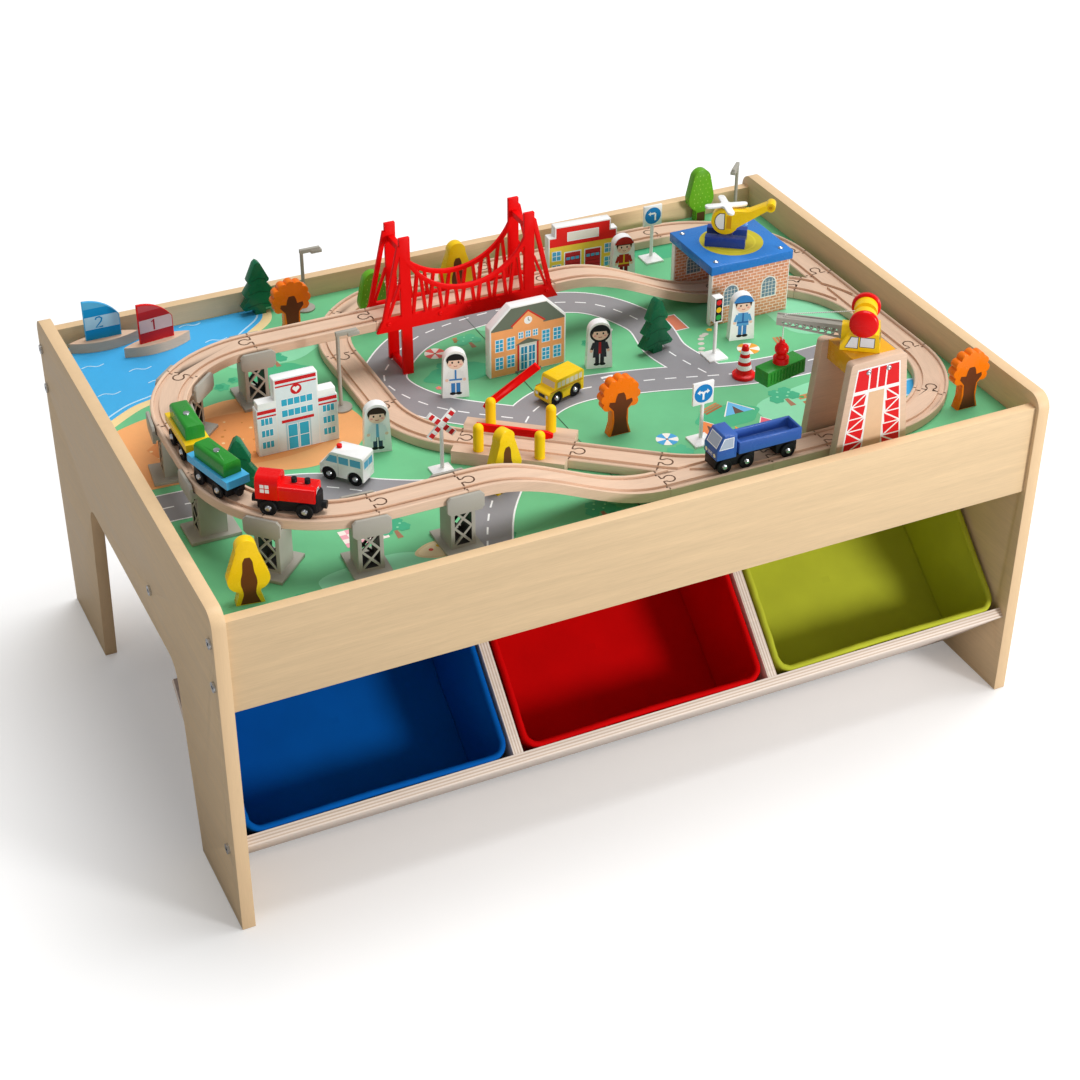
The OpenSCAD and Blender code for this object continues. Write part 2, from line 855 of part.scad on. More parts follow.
// Tower with a latticed window through it, on a foot plate, under a saddle that grips the track;
// the bend lies towards +Y
module pillar() {
    win_l = pillar_l - 2 * pillar_wall;
    win_h = raise_h - flange_base - 10;
    foot_t = 4;
    outer = track_w / 2 + joint_gap + flange_t;
    inner = outer + bend_bulge;
    seat_t = flange_base - 6;
    translate([-pillar_l / 2 - 7, -pillar_w / 2 - 13, 0])
        cube([pillar_l + 14, pillar_w + 26, foot_t]);
    difference() {
        translate([-pillar_l / 2, -pillar_w / 2, foot_t])
            cube([pillar_l, pillar_w, raise_h - seat_t - foot_t]);
        translate([-win_l / 2, -pillar_w, foot_t + 4])
            cube([win_l, 2 * pillar_w, win_h]);
    }
    for (y = [-pillar_w / 2, pillar_w / 2 - lattice_w])
        translate([0, y, foot_t + 4])
            upright(lattice_w)
                lattice();
    translate([-saddle_l / 2, -outer, raise_h - seat_t])
        cube([saddle_l, outer + inner, seat_t]);
    for (y = [-outer, inner - flange_t])
        translate([0, y, raise_h + track_t - 2 - flange_h])
            upright(flange_t)
                flange_outline();
}

module flange_outline() {
    cut = 4;
    h = flange_h;
    l = saddle_l / 2;
    polygon([
        [cut - l, 0], [l - cut, 0], [l, cut], [l, h - cut],
        [l - cut, h], [cut - l, h], [-l, h - cut], [-l, cut]
    ]);
}

// Place on the left loop at an angle of a bend about its middle
function on_bend(mid, a) = [mid[0] + curve_r * cos(a), mid[1] + curve_r * sin(a), a + 90];

module track_pillars() {
    upper = [left_bend[0], bridge_y - curve_r];
    places = [
        [left_bend[0] - 2, bridge_y, 180], on_bend(upper, 135), on_bend(upper, 173),
        [left_x, left_bend[1] - 3, -90], on_bend(left_bend, 225), on_bend(left_bend, 266.5),
        [left_bend[0] + raised_front_l - 4, front_y, 0]
    ];
    color(grey)
        for (p = places)
            lay(p[0], p[1], p[2]) pillar();
}

// Level crossing: along +X from the crossing's start

module at_crossing() lay(crossing_at[0], crossing_at[1], -branch_angle) children();

strip_y = track_w / 2 + strip_w / 2;
post_x = [crossing_l / 2 - post_pitch / 2, crossing_l / 2 + post_pitch / 2];
pin_r = 1.5;
pin_z = strip_h + post_h - 9;
boom_y = post_r + 0.4;

module post() {
    cylinder(r = post_r, h = post_h - post_r, $fn = 32);
    translate([0, 0, post_h - post_r])
        sphere(r = post_r, $fn = 32);
}

// Track with a strip on each side, and four posts with bores for the pivots
module level_crossing() {
    at_crossing() {
        color(beech)
            union() {
                straight(crossing_l);
                for (s = [-1, 1])
                    translate([joint_gap, s * strip_y - strip_w / 2, 0])
                        cube([crossing_l - joint_gap, strip_w, strip_h]);
            }
        color(yellow)
            for (s = [-1, 1], x = post_x)
                translate([x, s * strip_y, 0])
                    difference() {
                        translate([0, 0, strip_h + seat_gap]) post();
                        translate([0, 0, pin_z])
                            rotate([-90, 0, 0])
                                cylinder(r = pin_r + axle_gap, h = post_r + 1, $fn = 24);
                    }
    }
}

// Boom along +X from its pivot, with its pin towards -Y
module boom() {
    rotate([90, 0, 0])
        translate([0, 0, -boom_t])
            linear_extrude(boom_t)
                polygon([
                    [-boom_tail, -boom_h / 4], [-boom_tail, boom_h / 4], [-boom_tail / 2, boom_h / 2],
                    [boom_l, boom_h / 2], [boom_l, -boom_h / 2], [-boom_tail / 2, -boom_h / 2]
                ]);
    translate([0, -boom_y + 1, 0])
        rotate([-90, 0, 0])
            cylinder(r = pin_r, h = boom_y, $fn = 24);
}

module near_barrier() {
    color(red)
        at_crossing()
            translate([post_x[1], -strip_y + boom_y, pin_z])
                mirror([1, 0, 0])
                    boom();
}

module far_barrier() {
    color(red)
        at_crossing()
            translate([post_x[0], strip_y + boom_y, pin_z])
                rotate([0, -far_boom_angle, 0])
                    boom();
}

// Bridge: along +X from its left end, on the bridge track's middle

bridge_left = bridge_x - (bridge_l - bridge_deck_l) / 2;
tower_x = [tower_inset, bridge_l - tower_inset];

module bridge_deck() {
    color(beech)
        lay(station_ramp_x, bridge_y, 180, raise_h)
            straight(bridge_deck_l);
}

cable_span = (tower_x[1] - tower_x[0] - tower_w) / 2;
cable_rise = cable_high - cable_low;
cable_r = (pow(cable_span, 2) + pow(cable_rise, 2)) / (2 * cable_rise);
cable_mid = [bridge_l / 2, cable_low + cable_r];

module bar2d(a, b, w) {
    d = b - a;
    translate((a + b) / 2)
        rotate(atan2(d[1], d[0]))
            square([norm(d), w], center = true);
}

// Truss bars from the bottom chord up to the cable
module truss() {
    z0 = raise_h + chord_h - 4;
    pitch = 2 * cable_span / truss_bays;
    x0 = bridge_l / 2 - cable_span;
    intersection() {
        difference() {
            translate([x0 - 1, z0]) square([2 * cable_span + 2, tower_h]);
            translate(cable_mid) circle(cable_r + cable_w / 2, $fn = 96);
        }
        for (i = [0 : truss_bays - 1], s = [-1, 1])
            bar2d(
                [x0 + pitch * (i + 0.5 + 0.4 * s), z0 - 2],
                [x0 + pitch * (i + 0.5), z0 + 60 + 25 * abs(i - (truss_bays - 1) / 2) / truss_bays],
                lattice_w + 0.8
            );
    }
}

// One side: towers on the board, bottom chord, main cable with its truss, and end stays
module bridge_side() {
    z0 = raise_h - 2;
    x0 = bridge_l / 2 - cable_span;
    stay_top = tower_h - 10;
    polygon([[0, z0], [bridge_l, z0], [bridge_l - 9, z0 + chord_h], [9, z0 + chord_h]]);
    for (x = tower_x)
        translate([x - tower_w / 2, 0])
            square([tower_w, tower_h]);
    intersection() {
        difference() {
            translate(cable_mid) circle(cable_r + cable_w, $fn = 96);
            translate(cable_mid) circle(cable_r, $fn = 96);
        }
        translate([x0 - 1, cable_low - 10]) square([2 * cable_span + 2, cable_rise + 10]);
    }
    truss();
    for (s = [0, 1])
        translate([s * bridge_l, 0])
            mirror([s, 0]) {
                bar2d([tower_inset - tower_w / 2, stay_top], [9, z0 + chord_h / 2], cable_w);
                bar2d([12, z0 + chord_h / 2], [tower_inset - tower_w / 2, z0 + 0.35 * stay_top], lattice_w);
            }
}

module bridge_frame() {
    y = track_w / 2;
    tie_t = 7;
    color(red)
        translate([bridge_left, bridge_y, board_z]) {
            for (s = [0, 1])
                mirror([0, s, 0])
                    translate([0, y, 0])
                        upright(bridge_plate_t)
                            bridge_side();
            for (x = tower_x, z = [0, tower_h - 22])
                translate([x - tie_t / 2, seat_gap - y, z])
                    cube([tie_t, 2 * (y - seat_gap), tie_t]);
        }
}

// Rail vehicles: +X forwards, zero at the track's top under the middle

module wheel(r, w) {
    rotate_extrude($fn = 48)
        polygon([
            [0, -w / 2], [r - 0.6, -w / 2], [r, 0.6 - w / 2], [r, w / 2 - 0.6], [r - 0.6, w / 2],
            [r - 2, w / 2], [r - 2.6, w / 2 - 0.7], [hub_r + 0.4, w / 2 - 0.7],
            [hub_r - 0.4, w / 2 + hub_out - 0.6], [hub_r - 1.6, w / 2 + hub_out], [0, w / 2 + hub_out]
        ]);
}

// Axle with its two wheels and hub caps, turned to lie along Y
module wheelset(r, w, span) {
    color(black)
        rotate([90, 0, 0]) {
            cylinder(r = axle_r, h = span, center = true, $fn = 24);
            for (s = [0, 1])
                mirror([0, 0, s])
                    translate([0, 0, span / 2])
                        wheel(r, w);
        }
}

module rail_axle(x) translate([x, 0, wheel_z]) wheelset(wheel_r, wheel_w, gauge);

module axle_bore(x, z, w) {
    translate([x, 0, z])
        rotate([90, 0, 0])
            cylinder(r = axle_r + axle_gap, h = w + 2, center = true, $fn = 24);
}

// Chassis with axle bores and a magnet coupling at each end
module chassis(l, base) {
    floor_z = 4;
    color(black)
        difference() {
            union() {
                translate([-l / 2, -chassis_w / 2, floor_z])
                    cube([l, chassis_w, chassis_top - floor_z]);
                for (s = [-1, 1])
                    translate([s * (l + coupler_l) / 2 - s * 0.5, 0, 9.5])
                        rotate([0, 90, 0])
                            cylinder(r = 4.5, h = coupler_l + 1, center = true, $fn = 32);
            }
            for (s = [-1, 1])
                axle_bore(s * base / 2, wheel_z, chassis_w);
        }
}

module on_left_bend(a, seat) {
    translate([left_bend[0], left_bend[1], raised_top])
        rotate([0, 0, a])
            translate([seat, 0, 0])
                rotate([0, 0, 90])
                    children();
}

module at_loco() on_left_bend(loco_angle, loco_seat) children();
module at_blue_wagon() on_left_bend(blue_wagon_angle, blue_seat) children();
module at_yellow_wagon() translate([left_x, yellow_wagon_y, raised_top]) rotate([0, 0, -90]) children();
module at_truck() translate([truck_x, front_y, track_top]) rotate([0, 0, 180]) children();

// Outline with a round-cornered top, standing on its base line
module round_top(w, h, r) {
    translate([-w / 2, 0]) square([w, h - r]);
    translate([r - w / 2, 0]) square([w - 2 * r, h]);
    for (s = [-1, 1])
        translate([s * (w / 2 - r), h - r])
            circle(r, $fn = 32);
}

// Boiler, cab and two chimneys
module loco_body() {
    boiler_l = 38;
    cab_l = 24;
    at_loco()
        translate([0, 0, chassis_top]) {
            color(red) {
                translate([-8, 0, 0]) along(boiler_l) round_top(24, 17, 5);
                translate([-8 - cab_l, 0, 0]) along(cab_l) round_top(26, 26, 9);
            }
            color(black)
                for (x = [6, 20])
                    translate([x, 0, 17])
                        cylinder(r = 3, h = 5, $fn = 24);
        }
}

// Chassis with a rounded nose ahead of the boiler
module loco_chassis() {
    r = chassis_w / 2;
    at_loco() {
        chassis(chassis_l, loco_base);
        color(black)
            intersection() {
                translate([24, 0, 4]) cylinder(r = r, h = chassis_top + 4, $fn = 48);
                translate([30.3, -r, 4]) cube([r, 2 * r, chassis_top + 4]);
            }
    }
}

module loco_front_axle() at_loco() rail_axle(loco_base / 2);
module loco_rear_axle() at_loco() rail_axle(-loco_base / 2);

// Flat bed with a round-edged load held by a steel stud
module wagon_bed(paint) {
    load_l = bed_l - 19;
    color(paint)
        translate([-bed_l / 2, -bed_w / 2, chassis_top])
            cube([bed_l, bed_w, bed_h]);
    translate([0, 0, chassis_top + bed_h]) {
        color(green)
            translate([-load_l / 2, 0, 0])
                along(load_l)
                    round_top(21, 16, 4);
        color(grey)
            translate([0, 0, 16])
                cylinder(r = 3.5, h = 1.2, $fn = 32);
    }
}

module blue_wagon_bed() at_blue_wagon() wagon_bed("#45A6D8");
module blue_wagon_chassis() at_blue_wagon() chassis(chassis_l, wagon_base);
module blue_wagon_front_axle() at_blue_wagon() rail_axle(wagon_base / 2);
module blue_wagon_rear_axle() at_blue_wagon() rail_axle(-wagon_base / 2);

module yellow_wagon_bed() at_yellow_wagon() wagon_bed(yellow);
module yellow_wagon_chassis() at_yellow_wagon() chassis(chassis_l, wagon_base);
module yellow_wagon_front_axle() at_yellow_wagon() rail_axle(wagon_base / 2);
module yellow_wagon_rear_axle() at_yellow_wagon() rail_axle(-wagon_base / 2);

// Lorry: zero at the front axle, +X forwards

module truck_body() {
    cab_back = -14;
    bed_wall = 3;
    bed_front = cab_back - 3;
    bed_len = truck_mid + bed_front + 16;
    color(blue)
        at_truck()
            translate([0, -truck_w / 2, chassis_top]) {
                upright(truck_w)
                    polygon([[cab_back, 0], [11, 0], [11, 12], [2, 30], [cab_back, 30]]);
                difference() {
                    translate([bed_front - bed_len, 0, 2]) cube([bed_len, truck_w, 15]);
                    translate([bed_front - bed_len + bed_wall, bed_wall, 2 + bed_wall])
                        cube([bed_len - 2 * bed_wall, truck_w - 2 * bed_wall, 15]);
                }
            }
}

// Two axle blocks joined by a spine under the bed
module truck_chassis() {
    floor_z = 4;
    spine_z = 10;
    bed_z = chassis_top + 2;
    color(black)
        at_truck()
            difference() {
                union() {
                    translate([-truck_base_1 - 11, -chassis_w / 2, floor_z])
                        cube([truck_base_1 + 22, chassis_w, chassis_top - floor_z]);
                    translate([-truck_mid - 12, -chassis_w / 2, floor_z])
                        cube([26, chassis_w, bed_z - floor_z]);
                    translate([-truck_mid, -chassis_w / 4, spine_z])
                        cube([truck_mid - truck_base_1, chassis_w / 2, chassis_top - spine_z]);
                }
                for (x = [0, -truck_base_1, -truck_mid])
                    axle_bore(x, wheel_z, chassis_w);
            }
}

module truck_front_axle() at_truck() rail_axle(0);
module truck_middle_axle() at_truck() rail_axle(-truck_base_1);
module truck_rear_axle() at_truck() rail_axle(-truck_mid);

// Road vehicles: zero on the board under the middle, +X forwards

module road_axle(x) translate([x, 0, road_wheel_z]) wheelset(road_wheel_r, road_wheel_w, road_gauge);

// Body from its side outline, with wheel wells and axle bores
module road_body(base) {
    well_w = road_wheel_w + hub_out + 0.8;
    difference() {
        translate([0, -car_w / 2, 0])
            upright(car_w)
                children();
        for (x = [-base / 2, base / 2]) {
            axle_bore(x, road_wheel_z, car_w);
            for (s = [0, 1])
                mirror([0, s, 0])
                    translate([x, car_w / 2 + 1, road_wheel_z])
                        rotate([90, 0, 0])
                            cylinder(r = road_wheel_r + well_gap, h = well_w + 1, $fn = 48);
        }
    }
}

module bus_body() {
    color(yellow)
        on_board(bus_at)
            road_body(bus_base)
                polygon([
                    [-28, 6], [27, 6], [28, 8], [28, 17], [26, 19], [18, 20],
                    [16, 31], [14, 33], [-26, 33], [-28, 31]
                ]);
}

module bus_front_axle() on_board(bus_at) road_axle(bus_base / 2);
module bus_rear_axle() on_board(bus_at) road_axle(-bus_base / 2);

module ambulance_body() {
    on_board(ambulance_at) {
        color("white")
            road_body(ambulance_base)
                polygon([
                    [-27, 7], [26, 7], [27, 9], [27, 20], [24, 22],
                    [14, 36], [11, 38], [-25, 38], [-27, 36]
                ]);
        color(red)
            translate([8, 0, 38])
                cylinder(r = 3, h = 3.5, $fn = 24);
    }
}

module ambulance_front_axle() on_board(ambulance_at) road_axle(ambulance_base / 2);
module ambulance_rear_axle() on_board(ambulance_at) road_axle(-ambulance_base / 2);

// Crane

module gantry_outline() {
    r = 5;
    f = gantry_foot / 2;
    t = gantry_top / 2;
    polygon([[-f, 0], [f, 0], [t, gantry_h - r], [t - r, gantry_h], [r - t, gantry_h], [-t, gantry_h - r]]);
    for (s = [-1, 1])
        translate([s * (t - r), gantry_h - r])
            circle(r, $fn = 32);
}

// Two plates that straddle the track and the platform that joins them
module crane_gantry() {
    translate([crane_x, front_y, board_z]) {
        color(beech)
            for (s = [0, 1])
                mirror([0, s, 0])
                    translate([0, gantry_gap / 2, 0])
                        upright(gantry_t)
                            gantry_outline();
        color("#E8A020")
            difference() {
                translate([-platform_l / 2, seat_gap - gantry_gap / 2, gantry_h - platform_h])
                    cube([platform_l, gantry_gap - 2 * seat_gap, platform_h]);
                translate([0, 0, gantry_h - 16])
                    cylinder(r = slew_r + axle_gap, h = 20, $fn = 48);
            }
    }
}

module at_cab() translate([crane_x, front_y, cab_z]) rotate([0, 0, jib_angle]) children();

cab_front = 24;
jib_low = 8;
jib_high = 24;

// Cab with a round winch housing, a slot for the cord and a pin that turns in the platform
module crane_cab() {
    housing_r = 13;
    color(yellow)
        at_cab() {
            difference() {
                union() {
                    translate([0, -cab_w / 2, 0])
                        upright(cab_w) {
                            polygon([[-20, 0], [cab_front, 0], [cab_front, 5], [14, 22], [-17, 22]]);
                            translate([-housing_r, 20]) square([2 * housing_r, winch_z - 20]);
                            translate([0, winch_z]) circle(housing_r, $fn = 64);
                        }
                    translate([4, -jib_w / 2 - 1, 4])
                        cube([cab_front - 4, jib_w + 2, jib_high - 4]);
                }
                translate([0, 0, winch_z])
                    rotate([90, 0, 0])
                        cylinder(r = winch_r + axle_gap, h = cab_w + 2, center = true, $fn = 32);
                translate([-housing_r - 1, -spool_w / 2, jib_high + 2])
                    cube([2 * housing_r + 2, spool_w, winch_z + housing_r]);
            }
            translate([0, 0, -15])
                cylinder(r = slew_r, h = 15, $fn = 48);
        }
}

function jib_line(x, z0, z1) = z0 + (z1 - z0) * (x - cab_front) / (jib_reach - cab_front);

// One latticed side of the jib
module jib_side() {
    n = 9;
    low = 17.5;
    high = 26.5;
    frame_w = 1.8;
    pitch = (jib_reach - cab_front) / n;
    difference() {
        polygon([[cab_front, jib_low], [jib_reach, low], [jib_reach, high], [cab_front, jib_high]]);
        for (i = [0 : n - 2], s = [0, 1]) {
            x0 = cab_front + pitch * (i + 0.5 * s) + 2;
            x1 = x0 + pitch - 1.5;
            mid = (x0 + x1) / 2;
            zl = jib_line(mid, jib_low, low) + frame_w;
            zh = jib_line(mid, jib_high, high) - 2.5 * frame_w;
            if (s == 0) polygon([[x0, zl], [x1, zl], [mid, zh]]);
            if (s == 1) polygon([[x0 + 1, zh], [x1 - 1, zh], [mid, zl + 1.5]]);
        }
    }
}

// Two latticed sides under a channel that guides the cord
module crane_jib() {
    side_t = 2;
    low = 17.5;
    high = 26.5;
    color(grey)
        at_cab() {
            for (s = [0, 1])
                mirror([0, s, 0])
                    translate([0, jib_w / 2 - side_t, 0])
                        upright(side_t)
                            jib_side();
            difference() {
                translate([0, -jib_w / 2 + side_t, 0])
                    upright(jib_w - 2 * side_t)
                        polygon([
                            [cab_front, jib_high - 3], [jib_reach, high - 3],
                            [jib_reach, high - 1], [cab_front, jib_high - 1]
                        ]);
                translate([cord_x, 0, low])
                    cylinder(r = cord_d / 2 + 0.8, h = 20, $fn = 24);
            }
        }
}

// Axle through the cab with a round knob at each end
module crane_winch() {
    color(red)
        at_cab()
            translate([0, 0, winch_z])
                rotate([90, 0, 0]) {
                    cylinder(r = winch_r, h = cab_w + 2 * knob_gap + 1, center = true, $fn = 32);
                    for (s = [0, 1])
                        mirror([0, 0, s])
                            translate([0, 0, cab_w / 2 + knob_gap])
                                rotate_extrude($fn = 64)
                                    polygon([
                                        [0, 0], [knob_r - 1, 0], [knob_r, 1], [knob_r, knob_t - 2],
                                        [knob_r - 2, knob_t], [0, knob_t]
                                    ]);
                }
}

// Hoist cord: points from the winch over the jib's end and down to the magnet
cord_r = cord_d / 2;
cord_route = [
    [3, 0, winch_z + winch_r + 1.4], [30, 0, 37], [60, 0, 32.5], [cord_x - 3, 0, 28.6],
    [cord_x - 0.8, 0, 27.6], [cord_x, 0, 25.5], [cord_x, 0, 10], [cord_x, 0, magnet_top]
];
cord_sides = 8;

// Tangent of the route at a point, in the plane of the jib
function cord_tangent(i) =
    let (
        a = cord_route[max(i - 1, 0)],
        b = cord_route[min(i + 1, len(cord_route) - 1)],
        flat = i == len(cord_route) - 1 ? [0, 0, -1] : b - a
    ) flat / norm(flat);

function cord_ring(i) =
    let (t = cord_tangent(i), n = [-t[2], 0, t[0]])
    [for (k = [0 : cord_sides - 1])
        let (a = 360 * k / cord_sides)
        cord_route[i] + cord_r * (cos(a) * n + sin(a) * [0, 1, 0])];

module crane_cord() {
    rings = len(cord_route);
    points = [for (i = [0 : rings - 1]) each cord_ring(i)];
    sides = [
        for (i = [0 : rings - 2], k = [0 : cord_sides - 1])
            let (a = i * cord_sides + k, b = i * cord_sides + (k + 1) % cord_sides)
            each [[a, b, b + cord_sides], [a, b + cord_sides, a + cord_sides]]
    ];
    first = [for (k = [1 : cord_sides - 2]) [0, k + 1, k]];
    base = (rings - 1) * cord_sides;
    last = [for (k = [1 : cord_sides - 2]) [base, base + k, base + k + 1]];
    color("white")
        at_cab()
            polyhedron(points, concat(sides, first, last));
}

// Round magnet with the container that it lifts
module crane_load() {
    ribs = 11;
    rib_d = 0.8;
    pitch = container_l / (ribs + 1);
    at_cab()
        translate([cord_x, 0, 0]) {
            color(red)
                translate([0, 0, magnet_z]) {
                    cylinder(r = 9, h = 7, $fn = 48);
                    cylinder(r = 6, h = 14, $fn = 48);
                    translate([0, 0, 17]) sphere(r = 8, $fn = 48);
                    translate([0, 0, 17]) cylinder(r = 3, h = magnet_h - 17, $fn = 32);
                }
            color(green)
                translate([0, 0, container_z])
                    rotate([0, 0, container_turn])
                        difference() {
                            translate([-container_l / 2, -container_w / 2, 0])
                                cube([container_l, container_w, container_h]);
                            for (i = [1 : ribs], s = [-1, 1])
                                translate([i * pitch - container_l / 2, s * container_w / 2, container_h / 2])
                                    cube([pitch / 2, 2 * rib_d, container_h - 5], center = true);
                        }
        }
}

// Station

module station_walls() {
    color("#D9A183")
        for (y = [station_y0 - station_wall, station_y1])
            translate([station_x, y, board_z])
                cube([station_l, station_wall, station_h]);
}

module station_roof() {
    deep = station_gap + 2 * (station_wall + roof_over);
    color("#2F74C8")
        translate([station_x - roof_over, station_y0 - station_wall - roof_over, roof_z])
            cube([station_l + 2 * roof_over, deep, roof_t]);
}

// Helicopter: nose along +X, zero on the roof under the rotor

module at_helicopter() translate(heli_at) rotate([0, 0, heli_turn]) children();

module fuselage_outline() {
    translate([0, skid_h + nose_r]) circle(nose_r, $fn = 64);
    translate([0, skid_h]) {
        polygon([[0, 2 * nose_r - 2], [-10, 6], [-52, 36], [-55, 45], [-29, 2 * nose_r - 2]]);
        translate([-55, 40]) circle(6, $fn = 48);
    }
}

module helicopter() {
    at_helicopter() {
        color(yellow)
            difference() {
                translate([0, -heli_w / 2, 0])
                    upright(heli_w)
                        fuselage_outline();
                translate([0, 0, rotor_z - 10])
                    cylinder(r = 2 + axle_gap, h = 20, $fn = 24);
            }
        color("#1E2F78") {
            for (s = [-1, 1])
                translate([-27, s * (heli_w / 2 + 6) - 5.5, 0])
                    cube([50, 11, skid_h]);
            translate([-10, -heli_w / 2 - 0.5, 2])
                cube([16, heli_w + 1, skid_h - 2]);
        }
    }
}

// Cross of four round-ended blades with its pin
module helicopter_rotor() {
    blade_w = 9;
    color("white")
        at_helicopter() {
            translate([0, 0, rotor_z + 1])
                linear_extrude(3) {
                    circle(8, $fn = 48);
                    for (a = [20 : 90 : 290])
                        rotate(a) {
                            translate([0, -blade_w / 2]) square([(rotor_d - blade_w) / 2, blade_w]);
                            translate([(rotor_d - blade_w) / 2, 0]) circle(blade_w / 2, $fn = 32);
                        }
                }
            translate([0, 0, rotor_z - 9])
                cylinder(r = 2, h = 11, $fn = 24);
        }
}

// Scenery

module hospital_outline() {
    square([96, 60]);
    translate([2, 0]) square([22, 68]);
    translate([22, 0]) square([52, 94]);
    translate([72, 0]) square([22, 69]);
}

module school_outline() polygon([[0, 0], [100, 0], [100, 66], [75, 91], [27, 91], [0, 66]]);

module fire_outline() {
    square([96, 58]);
    translate([9, 0]) square([78, 72]);
}

module house_fronts() {
    color("#EFE9E2") {
        on_board(hospital_at) upright(house_t) hospital_outline();
        on_board(school_at) upright(house_t) school_outline();
        on_board(fire_at) upright(house_t) fire_outline();
    }
}

// Person's outline: leaning sides and a round head end
module person_outline() {
    r = person_w / 2 - 2;
    polygon([[-person_w / 2, 0], [person_w / 2, 0], [r, person_h - r], [-r, person_h - r]]);
    translate([0, person_h - r]) circle(r, $fn = 48);
}

module people() {
    color("white")
        for (p = persons)
            on_board(p)
                translate([0, -flat_t / 2, 0])
                    upright(flat_t)
                        person_outline();
}

module pine_outline() {
    polygon([
        [-7, 0], [7, 0], [7, 8], [20, 8], [23, 11], [13, 25], [18, 26], [20, 29], [10, 43], [13, 44],
        [14, 47], [4, 69], [0, 72], [-4, 69], [-14, 47], [-13, 44], [-10, 43], [-20, 29], [-18, 26],
        [-13, 25], [-23, 11], [-20, 8], [-7, 8]
    ]);
}

module round_tree_outline() {
    crown_z = 50;
    polygon([[-14, 0], [14, 0], [10, 14], [10, 36], [-10, 36], [-10, 14]]);
    translate([0, crown_z]) circle(20, $fn = 48);
    for (a = [-30 : 30 : 210])
        translate([19 * cos(a), crown_z + 19 * sin(a)])
            circle(6, $fn = 24);
}

module oval_tree_outline() {
    translate([-7, 0]) square([14, 24]);
    hull() {
        translate([0, 34]) circle(19, $fn = 32);
        translate([0, 62]) circle(13, $fn = 32);
    }
}

module bell_tree_outline() {
    polygon([[-15, 0], [15, 0], [11, 14], [20, 38], [10.5, 66], [-10.5, 66], [-20, 38], [-11, 14]]);
    translate([0, 66]) circle(11.2, $fn = 48);
    for (s = [-1, 1])
        translate([8 * s, 30])
            circle(14, $fn = 48);
}

module flat_trees(places) {
    for (p = places)
        on_board(p)
            translate([0, -flat_t / 2, 0])
                upright(flat_t)
                    children();
}

module trees() {
    color("#1F6B40") flat_trees(pines) pine_outline();
    color("#E9872B") flat_trees(round_trees) round_tree_outline();
    color("#6CBB32") flat_trees(oval_trees) oval_tree_outline();
    color("#F0D020") flat_trees(bell_trees) bell_tree_outline();
}

// Pole on a square foot with sloping sides
module sign_foot(pole = sign_pole) {
    w = 12.5;
    intersection_for (a = [0, 90])
        rotate([0, 0, a])
            translate([0, -w, 0])
                upright(2 * w)
                    polygon([[-w, 0], [w, 0], [w, 2.5], [4, 6], [-4, 6], [-w, 2.5]]);
    cylinder(r = 2.2, h = pole, $fn = 24);
}

// Turn signs, traffic light, crossing sign, cone and street lamps
module signs_and_lamps() {
    color("#E6E6E6") {
        for (p = turn_signs)
            on_board(p) {
                sign_foot();
                translate([-13, -1.5, sign_pole]) cube([26, 3, 28]);
            }
        on_board(traffic_light_at) {
            sign_foot();
            translate([-5.5, -5, sign_pole]) cube([11, 10, 33]);
        }
        on_board(cross_sign_at) {
            sign_foot(sign_pole + 10);
            translate([0, -1.5, sign_pole + 12])
                upright(3)
                    for (s = [-1, 1])
                        rotate(45 * s)
                            square([42, 7], center = true);
        }
    }
    color(red)
        on_board(cone_at)
            rotate_extrude($fn = 48)
                polygon([[0, 0], [14, 0], [14, 4], [10, 6], [3.5, 42], [0, 44]]);
    color(grey)
        for (p = lamps)
            on_board(p)
                street_lamp(p[3]);
}

module street_lamp(h) {
    rotate_extrude($fn = 48)
        polygon([[0, 0], [13, 0], [13, 2], [3, 4], [0, 4]]);
    cylinder(r = 2.2, h = h - 4, $fn = 24);
    translate([-2.2, -2.2, h - 5]) cube([26, 4.4, 5]);
    translate([12, -3.2, h - 7]) cube([14, 6.4, 4]);
}

// Boat: lens-shaped hull and a quarter-round sail
module sailboat() {
    hull_l = 86;
    hull_w = 22;
    r = (pow(hull_l / 2, 2) + pow(hull_w / 2, 2)) / hull_w;
    color(beech)
        linear_extrude(13)
            intersection_for (s = [-1, 1])
                translate([0, s * (r - hull_w / 2)])
                    circle(r, $fn = 128);
    color("#C9D4DA")
        translate([-22, -2, 13])
            upright(4)
                intersection() {
                    square([44, 52]);
                    circle(52, $fn = 96);
                }
}

module sailboats() {
    for (p = boats)
        on_board(p)
            sailboat();
}

left_end_panel();
right_end_panel();
front_rail();
back_rail();
play_board_left();
play_board_right();
board_supports();
panel_bolts();
bin_ledge_plank();
bin_rack();
blue_bin();
red_bin();
green_bin();
track_straights();
track_curves();
track_ramps_and_switches();
track_pillars();
level_crossing();
near_barrier();
far_barrier();
bridge_deck();
bridge_frame();
loco_body();
loco_chassis();
loco_front_axle();
loco_rear_axle();
blue_wagon_bed();
blue_wagon_chassis();
blue_wagon_front_axle();
blue_wagon_rear_axle();
yellow_wagon_bed();
yellow_wagon_chassis();
yellow_wagon_front_axle();
yellow_wagon_rear_axle();
truck_body();
truck_chassis();
truck_front_axle();
truck_middle_axle();
truck_rear_axle();
bus_body();
bus_front_axle();
bus_rear_axle();
ambulance_body();
ambulance_front_axle();
ambulance_rear_axle();
crane_gantry();
crane_cab();
crane_jib();
crane_winch();
crane_cord();
crane_load();
station_walls();
station_roof();
helicopter();
helicopter_rotor();
house_fronts();
people();
trees();
signs_and_lamps();
sailboats();
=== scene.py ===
"""Finish of a children's train table: laminate frame, printed board, wooden railway and fabric bins."""
import json
import math

